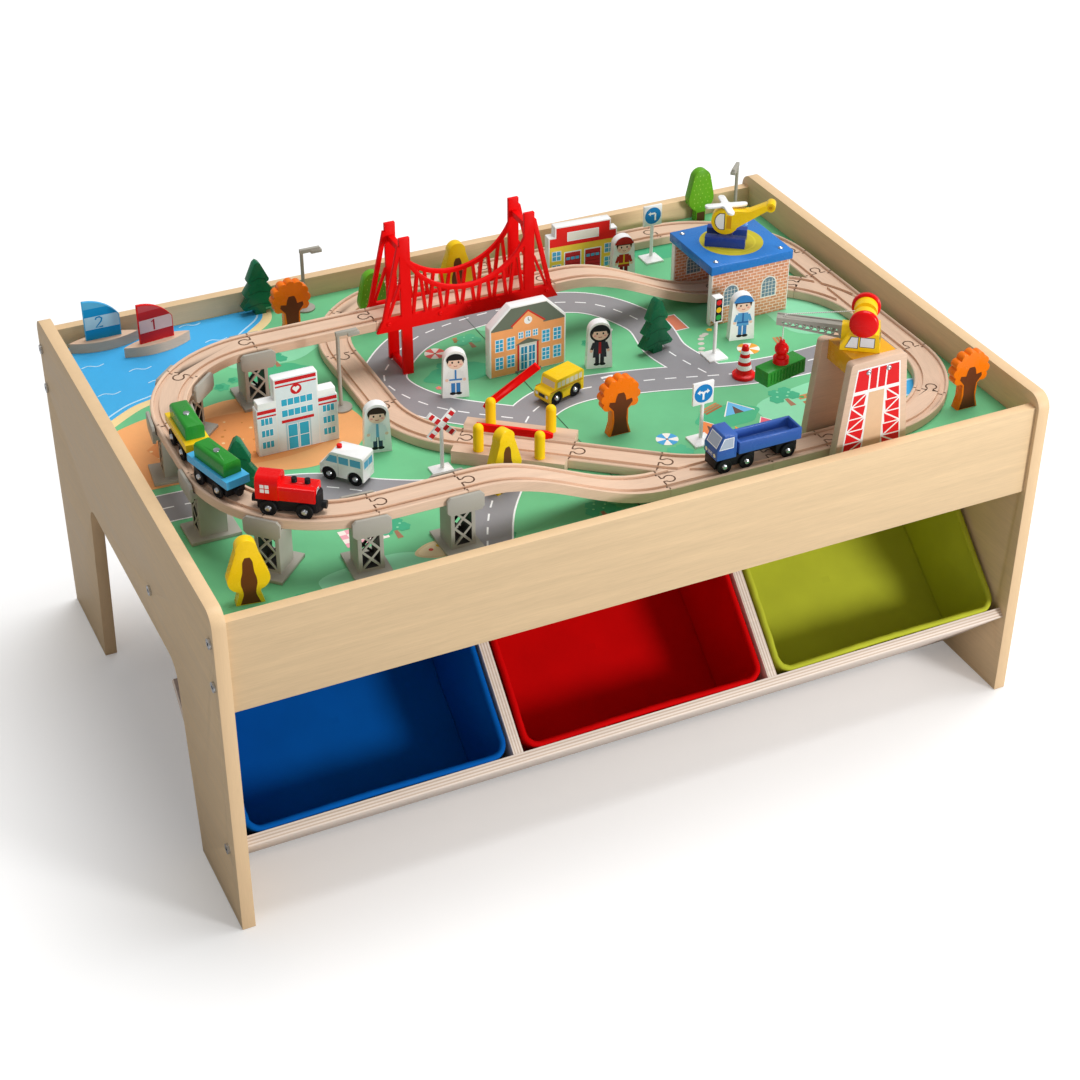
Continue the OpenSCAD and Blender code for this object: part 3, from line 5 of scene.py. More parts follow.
import bmesh
import bpy
from bpy.props import FloatProperty, FloatVectorProperty, IntProperty, PointerProperty
from mathutils import Matrix, Vector, noise
from mathutils.bvhtree import BVHTree

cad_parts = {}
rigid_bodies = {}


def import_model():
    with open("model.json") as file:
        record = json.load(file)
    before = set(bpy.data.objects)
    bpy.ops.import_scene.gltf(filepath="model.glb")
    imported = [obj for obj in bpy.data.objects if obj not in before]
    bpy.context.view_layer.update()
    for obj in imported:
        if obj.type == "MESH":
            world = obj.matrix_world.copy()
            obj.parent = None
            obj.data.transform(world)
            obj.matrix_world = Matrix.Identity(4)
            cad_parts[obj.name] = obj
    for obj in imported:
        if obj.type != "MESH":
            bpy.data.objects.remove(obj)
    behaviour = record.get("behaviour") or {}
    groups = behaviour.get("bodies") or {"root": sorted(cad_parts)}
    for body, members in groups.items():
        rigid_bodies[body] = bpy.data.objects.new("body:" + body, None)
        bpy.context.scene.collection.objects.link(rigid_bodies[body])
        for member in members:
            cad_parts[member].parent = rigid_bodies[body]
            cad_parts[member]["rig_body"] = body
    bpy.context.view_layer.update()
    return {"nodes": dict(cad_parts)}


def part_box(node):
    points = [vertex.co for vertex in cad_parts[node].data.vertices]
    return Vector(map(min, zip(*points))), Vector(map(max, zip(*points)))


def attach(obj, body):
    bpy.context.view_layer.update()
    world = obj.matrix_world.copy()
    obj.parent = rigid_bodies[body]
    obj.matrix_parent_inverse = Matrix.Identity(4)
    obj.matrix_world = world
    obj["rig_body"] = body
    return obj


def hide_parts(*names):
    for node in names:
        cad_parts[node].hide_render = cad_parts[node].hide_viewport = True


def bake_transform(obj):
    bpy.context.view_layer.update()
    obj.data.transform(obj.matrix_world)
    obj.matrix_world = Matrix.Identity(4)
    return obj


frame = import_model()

bl_info = {
    "name": "Train table finish",
    "version": (1, 0, 0),
    "blender": (4, 5, 0),
    "location": "View3D > Sidebar > Train table",
    "description": "Wood, paint, print and fabric of a children's train table",
    "category": "Object",
}

MM = 0.001
# Heights above the floor in mm: board, track, raised track, station roof and crane cab
BOARD, TRACK, RAISED, ROOF, CAB = 379.0, 391.0, 455.0, 462.0, 503.4
# Half sizes of the board, radius of a bolt's socket, where painted shade darkens it, and of a hub cap, in mm
EDGE_X, EDGE_Y, SOCKET, HUB = 484.4, 319.0, 2.8, 3.6
# Height of one layer of ink, and the rise that keeps shapes of one layer apart, in mm
LIFT, APART = 0.08, 0.0012
# Tilt of the bin rack
TILT = math.radians(44)
UPRIGHT = (0, 0, 1)
WHITE = "#FFFFFF"


def linear(code):
    """Linear colour with alpha of an sRGB hex code."""
    parts = [int(code[i:i + 2], 16) / 255 for i in (1, 3, 5)]
    return tuple(p / 12.92 if p <= 0.04045 else ((p + 0.055) / 1.055) ** 2.4 for p in parts) + (1.0,)


def length(label, about, value):
    """Size of the finish in metres."""
    return FloatProperty(name=label, description=about, default=value, min=0.0, precision=5,
                         unit="LENGTH", subtype="DISTANCE")


def tint(label, about, code):
    """Colour of the finish, given as it looks on screen."""
    return FloatVectorProperty(name=label, description=about, default=linear(code), size=4,
                               min=0.0, max=1.0, subtype="COLOR")


class TrainTableSizes(bpy.types.PropertyGroup):
    """Sizes of the finish."""
    board_edge: length("Board edge", "Rounding of the laminate panels' edges", 0.0012)
    toy_edge: length("Toy edge", "Sanded rounding of the painted wooden toys", 0.0009)
    # Width of the dark joint line: painted shade of the gap between pieces of track, and their burnt cut edges
    saw: length("Saw line", "Width of the dark edge where two pieces of track meet", 0.00065)
    plastic_edge: length("Plastic edge", "Rounding of moulded plastic edges", 0.0004)
    cloth: length("Cloth", "Thickness of a bin's fabric", 0.0018)
    hem: length("Hem", "Radius of the rolled hem round a bin's mouth", 0.0038)
    seam: length("Seam", "Radius of the piped seam round a bin's floor", 0.0008)
    sag: length("Sag", "How far a bin's walls bow in between the corners", 0.0045)
    tip: length("Tip", "How much shallower a bin's floor is at the front", 0.018)
    lean: length("Lean", "How far a bin's side walls lean out at the mouth", 0.0045)
    stitch_pitch: length("Stitch pitch", "Distance between two stitches of a hem", 0.0046)
    stitch: length("Stitch", "Length of one stitch", 0.0030)
    thread: length("Thread", "Radius of the sewing thread", 0.0004)
    rings: IntProperty(name="Bin rings", description="Rings of cloth between a bin's floor and mouth",
                       default=22, min=6, max=60)


class TrainTableColours(bpy.types.PropertyGroup):
    """Colours of the finish."""
    maple: tint("Maple", "Laminate film of panels and rails", "#DFC299")
    band: tint("Edge band", "Edge band of panels and rails", "#E8C79C")
    birch: tint("Birch", "Plywood of the bin rack", "#F3E3D5")
    beech: tint("Beech", "Bare wood of the track", "#DFBFA5")
    grass: tint("Grass", "Ground colour of the printed board", "#70C38C")
    blue_cloth: tint("Blue cloth", "Fabric of the left bin", "#0264BE")
    red_cloth: tint("Red cloth", "Fabric of the middle bin", "#E20204")
    lime_cloth: tint("Lime cloth", "Fabric of the right bin", "#CFD43E")
    red: tint("Red", "Red paint", "#E80808")
    truss: tint("Truss red", "Red plastic of bridge and barriers", "#F20305")
    yellow: tint("Yellow", "Yellow paint", "#FBCF17")
    orange: tint("Orange", "Orange paint", "#F97A08")
    blue: tint("Blue", "Blue paint", "#2B7ACB")
    sky: tint("Sky blue", "Sky blue paint", "#4CB4E6")
    lorry: tint("Lorry blue", "Blue paint of the lorry", "#3A62B0")
    navy: tint("Navy", "Dark blue paint", "#27408F")
    pine: tint("Pine green", "Dark green paint", "#17704A")
    leaf: tint("Leaf green", "Light green paint", "#68AF22")
    container: tint("Container green", "Green paint of the loads", "#2C8F2F")
    white: tint("White", "White paint", "#FBFBF9")
    grey: tint("Grey", "Grey moulded plastic", "#ABA79C")
    black: tint("Black", "Black plastic of chassis and wheels", "#1C1C1E")
    platform: tint("Platform", "Orange yellow paint of the crane's platform", "#E9A51F")
    steel: tint("Steel", "Zinc plated bolts, screws and hub caps", "#C9CCD0")


def sizes():
    return bpy.context.scene.train_table_sizes


def colours():
    return bpy.context.scene.train_table_colours


# Materials

def add(tree, kind, links=None, stops=None, **settings):
    """Adds one shader node, with its settings and its inputs' values or links."""
    node = tree.nodes.new("ShaderNode" + kind)
    for name, value in settings.items():
        setattr(node, name, value)
    for socket, value in (links or {}).items():
        target = node.inputs[socket]
        if isinstance(value, bpy.types.NodeSocket):
            tree.links.new(value, target)
        else:
            target.default_value = value
    for i, (place, colour) in enumerate(stops or []):
        ramp = node.color_ramp.elements
        stop = ramp[i] if i < 2 else ramp.new(place)
        stop.position = place
        stop.color = colour
    return node


def out(tree, kind, links=None, **settings):
    """First output of a new shader node."""
    return add(tree, kind, links, **settings).outputs[0]


def times(tree, a, b):
    return out(tree, "Math", {0: a, 1: b}, operation="MULTIPLY")


def ranged(tree, value, low, high, start=0.3, end=0.7):
    """Brings a noise's usual range between two values."""
    return out(tree, "MapRange", {"Value": value, "From Min": start, "From Max": end, "To Min": low, "To Max": high})


def toned(tree, colour, level):
    return out(tree, "HueSaturation", {"Color": colour, "Value": level})


def cloud(tree, where, cells, detail, rough=0.5):
    """Noise with its cells per metre along each axis."""
    spread = out(tree, "Mapping", {"Vector": where, "Scale": cells})
    return out(tree, "TexNoise", {"Vector": spread, "Scale": 1.0, "Detail": detail, "Roughness": rough})


def blank(name, place):
    """New material with its node tree and its coordinates."""
    material = bpy.data.materials.new(name)
    material.use_nodes = True
    tree = material.node_tree
    tree.nodes.clear()
    return material, tree, add(tree, "TexCoord").outputs[place]


def close(tree, colour, rough, height, relief, **shader):
    """Ends a material in one principled shader, with its bump from a height."""
    links = {"Base Color": colour, "Roughness": rough,
             "Normal": out(tree, "Bump", {"Height": height, "Distance": relief, "Strength": 1.0})}
    links.update({key.replace("_", " "): value for key, value in shader.items()})
    add(tree, "OutputMaterial", {"Surface": out(tree, "BsdfPrincipled", links)})


def finish(name, colour, broad, fine, spread, fleck, rough, relief, place="Object", **shader):
    """Solid finish: broad clouds and fine flecks, in cells per metre, vary one colour and its gloss."""
    shader.setdefault("Specular_IOR_Level", 0.2)
    material, tree, where = blank(name, place)
    clouds, flecks = (cloud(tree, where, cells if isinstance(cells, list) else [cells] * 3, 4.0, 0.6)
                      for cells in (broad, fine))
    level = times(tree, ranged(tree, clouds, 1 - spread, 1 + spread), ranged(tree, flecks, 1 - fleck, 1 + fleck))
    if isinstance(colour, str):
        colour = add(tree, "Attribute", attribute_name=colour).outputs["Color"]
    close(tree, toned(tree, colour, level), ranged(tree, clouds, *rough), flecks, relief, **shader)
    return material


def wood(name, colour, along, spread, fleck, rough=(0.38, 0.52), place="Object"):
    """Wood whose grain runs along one axis: long soft bands with short dark pores."""
    broad, fine = [110.0] * 3, [950.0] * 3
    broad[along], fine[along] = 5.5, 45.0
    return finish(name, colour, broad, fine, spread, fleck, rough, 3e-5, place)


def gloss_paint(name, colour):
    """Lacquer on sanded wood: even colour, slight orange peel, soft highlights on the edges."""
    return finish(name, colour, 40.0, 700.0, 0.03, 0.02, (0.22, 0.32), 2e-5, Coat_Weight=0.1, Coat_Roughness=0.15)


def moulded(name, colour):
    """Injection moulded plastic: fine grain with a dull shine."""
    return finish(name, colour, 25.0, 1800.0, 0.025, 0.02, (0.36, 0.48), 1e-5, Specular_IOR_Level=0.12)


def plated(name, colour):
    """Plated steel: bright metal with brushed haze."""
    return finish(name, colour, 90.0, 2500.0, 0.05, 0.04, (0.18, 0.34), 4e-6, Metallic=1.0)


def plywood(name, colour, across, ply=1.7):
    """Birch plywood: on its edges the plies show as pale and brown lines across the thickness."""
    material, tree, where = blank(name, "Object")
    depth = add(tree, "VectorMath", {0: where, 1: across}, operation="DOT_PRODUCT").outputs["Value"]
    turn = out(tree, "Math", {0: times(tree, depth, 0.5 / (ply * MM))}, operation="FRACT")
    dark = [c * f for c, f in zip(colour, (0.76, 0.68, 0.60))] + [1.0]
    stops = [(0.0, colour), (0.5, colour), (0.54, dark), (0.96, dark), (1.0, colour)]
    lines = out(tree, "ValToRGB", {"Fac": turn}, stops=stops)
    grain = cloud(tree, where, (6.0, 320.0, 320.0), 5.0)
    close(tree, toned(tree, lines, ranged(tree, grain, 0.93, 1.05)), 0.58, grain, 4e-5)
    return material


def woven(name, colour, yarn=0.7):
    """Polyester bin cloth: fine plain weave, matt, and some light comes through."""
    material, tree, where = blank(name, "UV")
    bands = 2 * math.pi / (20 * yarn * MM)
    warp, weft = (add(tree, "TexWave", {"Vector": where, "Scale": bands, "Distortion": 0.6, "Detail": 1.0},
                      bands_direction=way).outputs["Fac"] for way in "XY")
    weave = times(tree, warp, weft)
    tone = ranged(tree, cloud(tree, where, [14.0] * 3, 3.0), 0.92, 1.06)
    mixed = toned(tree, colour, times(tree, tone, ranged(tree, weave, 0.94, 1.05, 0.0, 1.0)))
    bump = out(tree, "Bump", {"Height": weave, "Distance": 1e-4, "Strength": 0.6})
    face = out(tree, "BsdfPrincipled", {"Base Color": mixed, "Roughness": 0.75, "Normal": bump,
                                        "Specular IOR Level": 0.06})
    through = out(tree, "BsdfTranslucent", {"Color": mixed, "Normal": bump})
    add(tree, "OutputMaterial", {"Surface": out(tree, "MixShader", {0: 0.15, 1: face, 2: through})})
    return material


def brickwork(name, mortar):
    """Paper print of small bricks with pale joints."""
    material, tree, where = blank(name, "Object")
    parts = add(tree, "SeparateXYZ", {0: where}).outputs
    bricks = add(tree, "TexBrick", {
        "Vector": out(tree, "CombineXYZ", {0: parts[0], 1: parts[2]}), "Scale": 1.0, "Brick Width": 0.0088,
        "Row Height": 0.0042, "Mortar Size": 0.00055, "Mortar Smooth": 0.2, "Mortar": mortar,
        "Color1": linear("#E2966E"), "Color2": linear("#CE8159"),
    }).outputs
    level = ranged(tree, cloud(tree, where, [180.0] * 3, 3.0), 0.92, 1.06)
    close(tree, toned(tree, bricks["Color"], level), 0.5, bricks["Fac"], 3e-5)
    return material


def twisted(name, colour):
    """White polyester cord: the lay of its strands runs round as fine slanted ridges."""
    material, tree, where = blank(name, "UV")
    lay = add(tree, "TexWave", {"Vector": where, "Scale": 260.0, "Distortion": 0.4},
              bands_direction="DIAGONAL").outputs["Fac"]
    # The greyer end of the ramp is painted shade in the grooves of the lay
    mixed = out(tree, "ValToRGB", {"Fac": lay}, stops=[(0.0, linear("#C9C6BE")), (0.6, colour)])
    close(tree, mixed, 0.7, lay, 1e-4, Sheen_Weight=0.3)
    return material


# Finish of each key: its maker, name, colour and settings; any other key is a paint
FINISHES = {
    "maple x": (wood, "Maple laminate along the rails", "maple", 0, 0.055, 0.045),
    "maple y": (wood, "Maple laminate across the panels", "maple", 1, 0.055, 0.045),
    "band": (wood, "Edge band", "band", 2, 0.02, 0.03),
    "ledge": (plywood, "Birch plywood ledge", "birch", (0, math.cos(TILT), math.sin(TILT))),
    "back": (plywood, "Birch plywood back", "birch", (0, -math.sin(TILT), math.cos(TILT))),
    "divider": (plywood, "Birch plywood divider", "birch", (1, 0, 0)),
    "bar": (plywood, "Birch plywood bar", "birch", (0, 1, 0)),
    "batten": (wood, "Bare pine batten", "birch", 0, 0.06, 0.08),
    "beech": (wood, "Bare beech", "beech", 0, 0.05, 0.07, (0.45, 0.6), "UV"),
    "grass": (finish, "Printed board", "grass", 7.0, 900.0, 0.11, 0.02, (0.4, 0.5), 6e-6),
    "fibre": (finish, "Fibreboard edge", "#B9925F", 90.0, 1500.0, 0.08, 0.1, (0.7, 0.85), 5e-5),
    "ink": (finish, "Printing ink", "ink", 120.0, 2600.0, 0.02, 0.03, (0.38, 0.5), 3e-6),
    "steel": (plated, "Zinc plated steel", "steel"),
    "blue cloth": (woven, "Blue bin cloth", "blue_cloth"),
    "red cloth": (woven, "Red bin cloth", "red_cloth"),
    "lime cloth": (woven, "Lime bin cloth", "lime_cloth"),
    "bricks": (brickwork, "Brick print", "#F1D3C2"),
    "cord": (twisted, "White hoist cord", "#F4F2EC"),
    "grey plastic": (moulded, "Grey moulded plastic", "grey"),
    "red plastic": (moulded, "Red moulded plastic", "truss"),
    "yellow plastic": (moulded, "Yellow moulded plastic", "yellow"),
    "black plastic": (moulded, "Black moulded plastic", "black"),
    # Darker grey for the hollow pillars' inward faces is painted shade, not another plastic
    "dark plastic": (moulded, "Inside of grey moulded plastic", "#45433E"),
}
SHELF = {}


def stock(key):
    """Material of a finish, made once."""
    if key not in SHELF:
        maker, name, colour, *settings = FINISHES.get(key, (gloss_paint, key + " lacquer", key))
        shade = linear(colour) if colour.startswith("#") else getattr(colours(), colour, colour)
        SHELF[key] = maker(name, shade, *settings)
    return SHELF[key]


# Places and pieces

def spot(x, y, turn=0.0, z=BOARD):
    """Place on the table in millimetres, turned about the vertical in degrees."""
    return Matrix.Translation((x * MM, y * MM, z * MM)) @ Matrix.Rotation(math.radians(turn), 4, "Z")


def plane(place, origin, right, up=UPRIGHT):
    """Printing plane of a placed piece: its origin in millimetres and its two directions."""
    x, y = Vector(right).normalized(), Vector(up).normalized()
    axes = Matrix((x, y, x.cross(y))).transposed().to_4x4()
    return place @ Matrix.Translation(Vector(origin) * MM) @ axes


def ray(turn, reach=1.0, x=0.0, y=0.0):
    """Point at a distance from a place, in a direction given in degrees."""
    a = math.radians(turn)
    return x + reach * math.cos(a), y + reach * math.sin(a)


def settle(piece, body, slot, *nodes):
    """Puts a finished piece in the scene on its body, in place of its CAD nodes."""
    bpy.context.scene.collection.objects.link(piece)
    if body:
        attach(piece, body)
    if nodes:
        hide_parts(*nodes)
    return piece


def as_piece(name, bm, keys, angle=None):
    """Object of a finished mesh with its materials, smooth up to an angle between faces."""
    mesh = bpy.data.meshes.new(name)
    for key in keys:
        mesh.materials.append(stock(key))
    bm.to_mesh(mesh)
    bm.free()
    if angle:
        mesh.shade_smooth()
        mesh.set_sharp_from_angle(angle=math.radians(angle))
    return bpy.data.objects.new(name, mesh)


def ring_of(bm, place, radius, z, sides):
    """Ring of points round a place's upright axis, in millimetres."""
    return [bm.verts.new(place @ (Vector((*ray(360 * k / sides, radius), z)) * MM)) for k in range(sides)]


def loft(bm, rings):
    """Faces between closed rings of points, each with the ring and the point of its corners."""
    made = []
    for i, (a, b) in enumerate(zip(rings, rings[1:])):
        for k in range(len(a)):
            n = (k + 1) % len(a)
            face = bm.faces.new((a[k], a[n], b[n], b[k]))
            made.append((face, ((i, k), (i, k + 1), (i + 1, k + 1), (i + 1, k))))
    return made


def coat(node, *keys):
    """Gives a CAD piece its finishes as it stands."""
    mesh = frame["nodes"][node].data
    mesh.materials.clear()
    for key in keys:
        mesh.materials.append(stock(key))
    return mesh


def islands(bm):
    """Faces of each separate solid."""
    found, left = [], set(bm.faces)
    while left:
        island, queue = [], [left.pop()]
        while queue:
            face = queue.pop()
            island.append(face)
            near = {other for edge in face.edges for other in edge.link_faces} & left
            left -= near
            queue += near
        found.append(island)
    return found


def grain_map(bm):
    """Lays a wood map on each solid, in metres, with the grain along its longer way."""
    layer = bm.loops.layers.uv.new("grain")
    for island in islands(bm):
        points = {v for face in island for v in face.verts}
        mid = sum((v.co for v in points), Vector()) / len(points)
        xx = sum((v.co.x - mid.x) ** 2 for v in points)
        yy = sum((v.co.y - mid.y) ** 2 for v in points)
        xy = sum((v.co.x - mid.x) * (v.co.y - mid.y) for v in points)
        c, s = ray(math.degrees(0.5 * math.atan2(2 * xy, xx - yy)))
        for face in island:
            for loop in face.loops:
                p = loop.vert.co - mid
                loop[layer].uv = (c * p.x + s * p.y + mid.x, c * p.y - s * p.x + p.z + mid.y)


def extents(bm):
    return [max(v.co[i] for v in bm.verts) - min(v.co[i] for v in bm.verts) for i in range(3)]


def merged(node):
    """Copy of a CAD piece's mesh with its points merged and its flat faces whole."""
    bm = bmesh.new()
    bm.from_mesh(frame["nodes"][node].data)
    bmesh.ops.remove_doubles(bm, verts=bm.verts[:], dist=2e-6)
    bmesh.ops.dissolve_limit(bm, angle_limit=math.radians(0.5), verts=bm.verts[:], edges=bm.edges[:])
    return bm


def rounded(node, edge):
    """Merged copy of a CAD piece with its sharp edges rounded, or unrounded where they are too close."""
    bm = merged(node)
    size, volume = extents(bm), bm.calc_volume()
    for width in (edge, edge / 2):
        sharp = [e for e in bm.edges if e.is_manifold and e.calc_face_angle(0) > math.radians(38)]
        bmesh.ops.bevel(bm, geom=sharp, offset=width, offset_type="OFFSET", segments=2, profile=0.5,
                        affect="EDGES", clamp_overlap=True)
        same_size = all(abs(a - b) < 1e-4 for a, b in zip(size, extents(bm)))
        if same_size and abs(bm.calc_volume() - volume) < 0.06 * volume:
            return bm
        bm.free()
        bm = merged(node)
    return bm


def dress(node, keys, edge=0.0, slot=None, pick=None, place=None):
    """Finished copy of a CAD piece: rounded edges, and a finish picked by each face's centre and normal."""
    keys = (keys,) if isinstance(keys, str) else keys
    bm = rounded(node, edge) if edge else merged(node)
    if pick:
        bm.normal_update()
        home = place.inverted() if place else Matrix()
        for face in bm.faces:
            face.material_index = int(pick(home @ face.calc_center_median() / MM, face.normal))
    grain_map(bm)
    piece = as_piece(node + "_finish", bm, keys, 35)
    slot = slot or (keys[0].replace(" ", "_") if "plastic" in keys[0] else keys[0] + "_paint")
    return settle(piece, frame["nodes"][node]["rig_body"], slot, node)


def slant(a, b, c, z0, z1, grow=0.0):
    """Outline of a box from a to b at its foot and from a to c at its top."""
    return [(a - grow, z0 - grow), (b + grow, z0 - grow), (c + grow, z1 + grow), (a - grow, z1 + grow)]


def oval(x, y, rx, ry=None, start=0, end=360, count=28, wave=0.0, waves=0):
    """Outline of an ellipse or of a slice of it, with a wavy edge."""
    full = end - start >= 360
    points = []
    for i in range(count if full else count + 1):
        a = math.radians(start + (end - start) * i / count)
        k = 1 + wave * math.cos(waves * a)
        points.append((x + k * rx * math.cos(a), y + k * (ry or rx) * math.sin(a)))
    return points if full else points + [(x, y)]


class Print:
    """Ink shapes on flat faces of one body; each layer lies a hair above the one below."""

    def __init__(self):
        self.bm = bmesh.new()
        self.ink = self.bm.loops.layers.float_color.new("ink")
        self.plane = Matrix()
        self.count = 0

    def on(self, surface):
        self.plane = surface
        return self

    def dye(self, face, code):
        for loop in face.loops:
            loop[self.ink] = linear(code)

    def fill(self, points, code, layer=0):
        area = sum(a[0] * b[1] - b[0] * a[1] for a, b in zip(points, points[1:] + points[:1]))
        self.count += 1
        height = LIFT * (layer + 1) + APART * (self.count % 60)
        verts = [self.bm.verts.new(self.plane @ (Vector((x, y, height)) * MM))
                 for x, y in (points if area > 0 else points[::-1])]
        self.dye(self.bm.faces.new(verts), code)

    def box(self, x, y, w, h, code, layer=0):
        self.fill(slant(x, x + w, x + w, y, y + h), code, layer)

    def disc(self, x, y, rx, code, layer=0, ry=None, **shape):
        self.fill(oval(x, y, rx, ry, **shape), code, layer)

    def stroke(self, points, width, code, layer=0):
        """Line of one width along the points."""
        sides = []
        for i, p in enumerate(points):
            a, b = Vector(points[max(i - 1, 0)]), Vector(points[min(i + 1, len(points) - 1)])
            n = (b - a).normalized().orthogonal() * width / 2
            sides.append((Vector(p) + n, Vector(p) - n))
        for (a, b), (c, d) in zip(sides, sides[1:]):
            self.fill([a, b, d, c], code, layer)

    def pane(self, x, y, w, h, glass, layer, across=2, down=2, rim=0.9):
        """Window with white glazing bars."""
        self.box(x, y, w, h, WHITE, layer)
        cw, ch = (w - rim * (across + 1)) / across, (h - rim * (down + 1)) / down
        for i in range(across):
            for k in range(down):
                self.box(x + rim + i * (cw + rim), y + rim + k * (ch + rim), cw, ch, glass, layer + 1)

    def piece(self, name, body, slot):
        return settle(as_piece(name, self.bm, ("ink",)), body, slot)


def on_sides(sheet, place, half, shapes, z=0):
    """Prints outlines on both sides of a piece, mirrored on one: points, ink and layer."""
    for s in (-1, 1):
        sheet.on(plane(place, (0, s * half, z), (-s, 0, 0)))
        for points, code, layer in shapes:
            sheet.fill([(-s * x, y) for x, y in points], code, layer)


def both_sides(sheet, place, thick, draw, shift=0.0, wide=0.0, grow=1.0):
    """Draws the same print on the front and the back of an upright flat piece."""
    larger = Matrix.Scale(grow, 4)
    draw(sheet.on(plane(place, (0, -shift, 0), (1, 0, 0)) @ larger))
    draw(sheet.on(plane(place, (wide, thick - shift, 0), (-1, 0, 0)) @ larger))


def glazed(rim, rim_ink, glass, *shapes):
    """Slanted windows with a rim of another ink, for both sides of a piece."""
    return [(slant(*shape, grow), code, layer) for grow, code, layer in ((rim, rim_ink, 0), (0.0, glass, 1))
            for shape in shapes]


def curve_through(points, steps=10):
    """Smooth line through points."""
    ends = [points[0]] + list(points) + [points[-1]]
    line = []
    for a, b, c, d in zip(ends, ends[1:], ends[2:], ends[3:]):
        for t in (i / steps for i in range(steps)):
            line.append(tuple(
                0.5 * (2 * b[k] + (c[k] - a[k]) * t + (2 * a[k] - 5 * b[k] + 4 * c[k] - d[k]) * t ** 2
                       + (3 * b[k] - a[k] - 3 * c[k] + d[k]) * t ** 3) for k in (0, 1)))
    return line + [tuple(points[-1])]


def spaced(line, pitch):
    """Points at even distances along a line, with the direction there."""
    found, left = [], pitch / 2
    for a, b in zip(line, line[1:]):
        a, b = Vector(a), Vector(b)
        run = (b - a).length
        while left <= run and run > 0:
            found.append((a + (b - a) * left / run, (b - a) / run))
            left += pitch
        left -= run
    return found


# Table

# Where the rack's dividers stand and how high its top bar lies, in mm
DIVIDER_X, BAR_Z = 163.67, 270


def build_frame():
    edge = sizes().board_edge
    for side in ("left", "right"):
        dress(side + "_end_panel", ("maple y", "band"), edge, "maple_laminate", lambda c, n: abs(n.x) <= 0.8)
    for side in ("front", "back"):
        dress(side + "_rail", ("maple x", "band"), edge, "maple_laminate", lambda c, n: n.z > 0.6)
    for side in ("left", "right"):
        for face in coat("play_board_" + side, "grass", "fibre").polygons:
            face.material_index = int(face.normal.z <= 0.9)
    coat("board_supports", "batten")
    bm = merged("panel_bolts")
    axes = [sum((face.calc_center_median().yz for face in island), Vector((0, 0))) / len(island)
            for island in islands(bm)]
    bm.free()
    # Faces within a socket's radius of each bolt's axis take black: painted shade in the recess of the steel bolt
    for face in coat("panel_bolts", "steel", "black plastic").polygons:
        face.material_index = int(min((face.center.yz - axis).length for axis in axes) < SOCKET * MM)
    dress("bin_ledge_plank", "ledge", edge / 2, "birch_plywood")
    dress("bin_rack", ("back", "divider", "bar"), edge / 2, "birch_plywood",
          lambda c, n: 1 if abs(abs(c.x) - DIVIDER_X) < 6.5 else 2 * (c.z > BAR_Z))


# Inks of the printed board
ROAD, LINE, WATER, FOAM = "#979598", "#FBFBFA", "#44B0EA", "#BFE3F8"
SAND, SAND_DARK, LAWN, LAWN_DARK = "#F2AE70", "#EA9A5A", "#8FDBAE", "#4DB583"
CREAM, ROSE, CORAL, AMBER = "#FBF4EA", "#F27C8E", "#F0625A", "#F6A623"
LEAF, LEAF_PALE, LEAF_DARK = "#45B184", "#58BE8E", "#3BA578"


def clipped(points):
    """Points kept on the board."""
    return [(max(-EDGE_X, min(EDGE_X, x)), max(-EDGE_Y, min(EDGE_Y, y))) for x, y in points]


def print_roads(sheet, roads, width):
    for i, points in enumerate(roads):
        line, rise = clipped(curve_through(points)), 0.25 * i
        sheet.stroke(line, width + 4, LINE, 3 + rise)
        sheet.stroke(line, width, ROAD, 4 + rise)
        for p, t in spaced(line, 26):
            sheet.stroke([p - 7 * t, p + 7 * t], 2.0, LINE, 5 + rise)


def print_ground(sheet):
    """Water, sand and lawns under the roads."""
    corner = [(-EDGE_X, EDGE_Y)]
    shore = curve_through([(-484, 120), (-440, 150), (-392, 168), (-352, 210), (-300, 226), (-262, 262),
                           (-232, 290), (-222, 319)])
    sheet.fill(clipped([(x + 9, y - 9) for x, y in shore]) + corner, "#F4D9A0")
    sheet.fill(clipped(shore) + corner, WATER, 1)
    sheet.stroke(clipped([(x - 5, y + 5) for x, y in shore]), 2.4, FOAM, 2)
    for x, y in ((-455, 190), (-405, 232), (-455, 262), (-345, 290), (-300, 262), (-392, 196), (-318, 312)):
        sheet.stroke(curve_through([(x - 14, y), (x - 5, y + 3), (x + 5, y - 2), (x + 14, y + 1)], 5), 1.6, FOAM, 2)
    beach = [(-484, 100), (-430, 118), (-380, 112), (-330, 118), (-270, 100), (-222, 62), (-206, 10), (-232, -40),
             (-290, -60), (-350, -46), (-420, -34), (-484, -30)]
    dune = [(-452, 50), (-400, 84), (-330, 86), (-268, 66), (-238, 24), (-262, -16), (-330, -28), (-420, -8),
            (-452, 50)]
    for layer, (points, code) in enumerate(((beach, SAND), (dune, SAND_DARK))):
        sheet.fill(clipped(curve_through(points)), code, layer)
    for i in range(46):
        reach = math.sqrt(i / 46)
        x, y = -345 + 112 * math.sin(2.4 * i) * reach, 28 + 52 * math.cos(2.4 * i) * reach
        sheet.disc(x, y, 1.1 + 0.5 * (i % 3), ("#F7CF98", "#C98038")[i % 2], 2, count=8)
    lawns = ((-250, 205, 62, 30), (300, -180, 88, 46), (60, 168, 66, 34), (-300, -282, 70, 26), (395, 30, 50, 74),
             (60, -250, 96, 34))
    meadows = ((-62, 62, 44, 22), (330, 250, 60, 26), (-260, 150, 40, 24), (180, -160, 40, 24), (-150, -30, 30, 20),
               (440, -110, 26, 44))
    for patches, code, wave, waves in ((lawns, LAWN, 0.05, 5), (meadows, LAWN_DARK, 0.06, 6)):
        for x, y, rx, ry in patches:
            sheet.disc(x, y, rx, code, 0, ry, wave=wave, waves=waves, count=40)


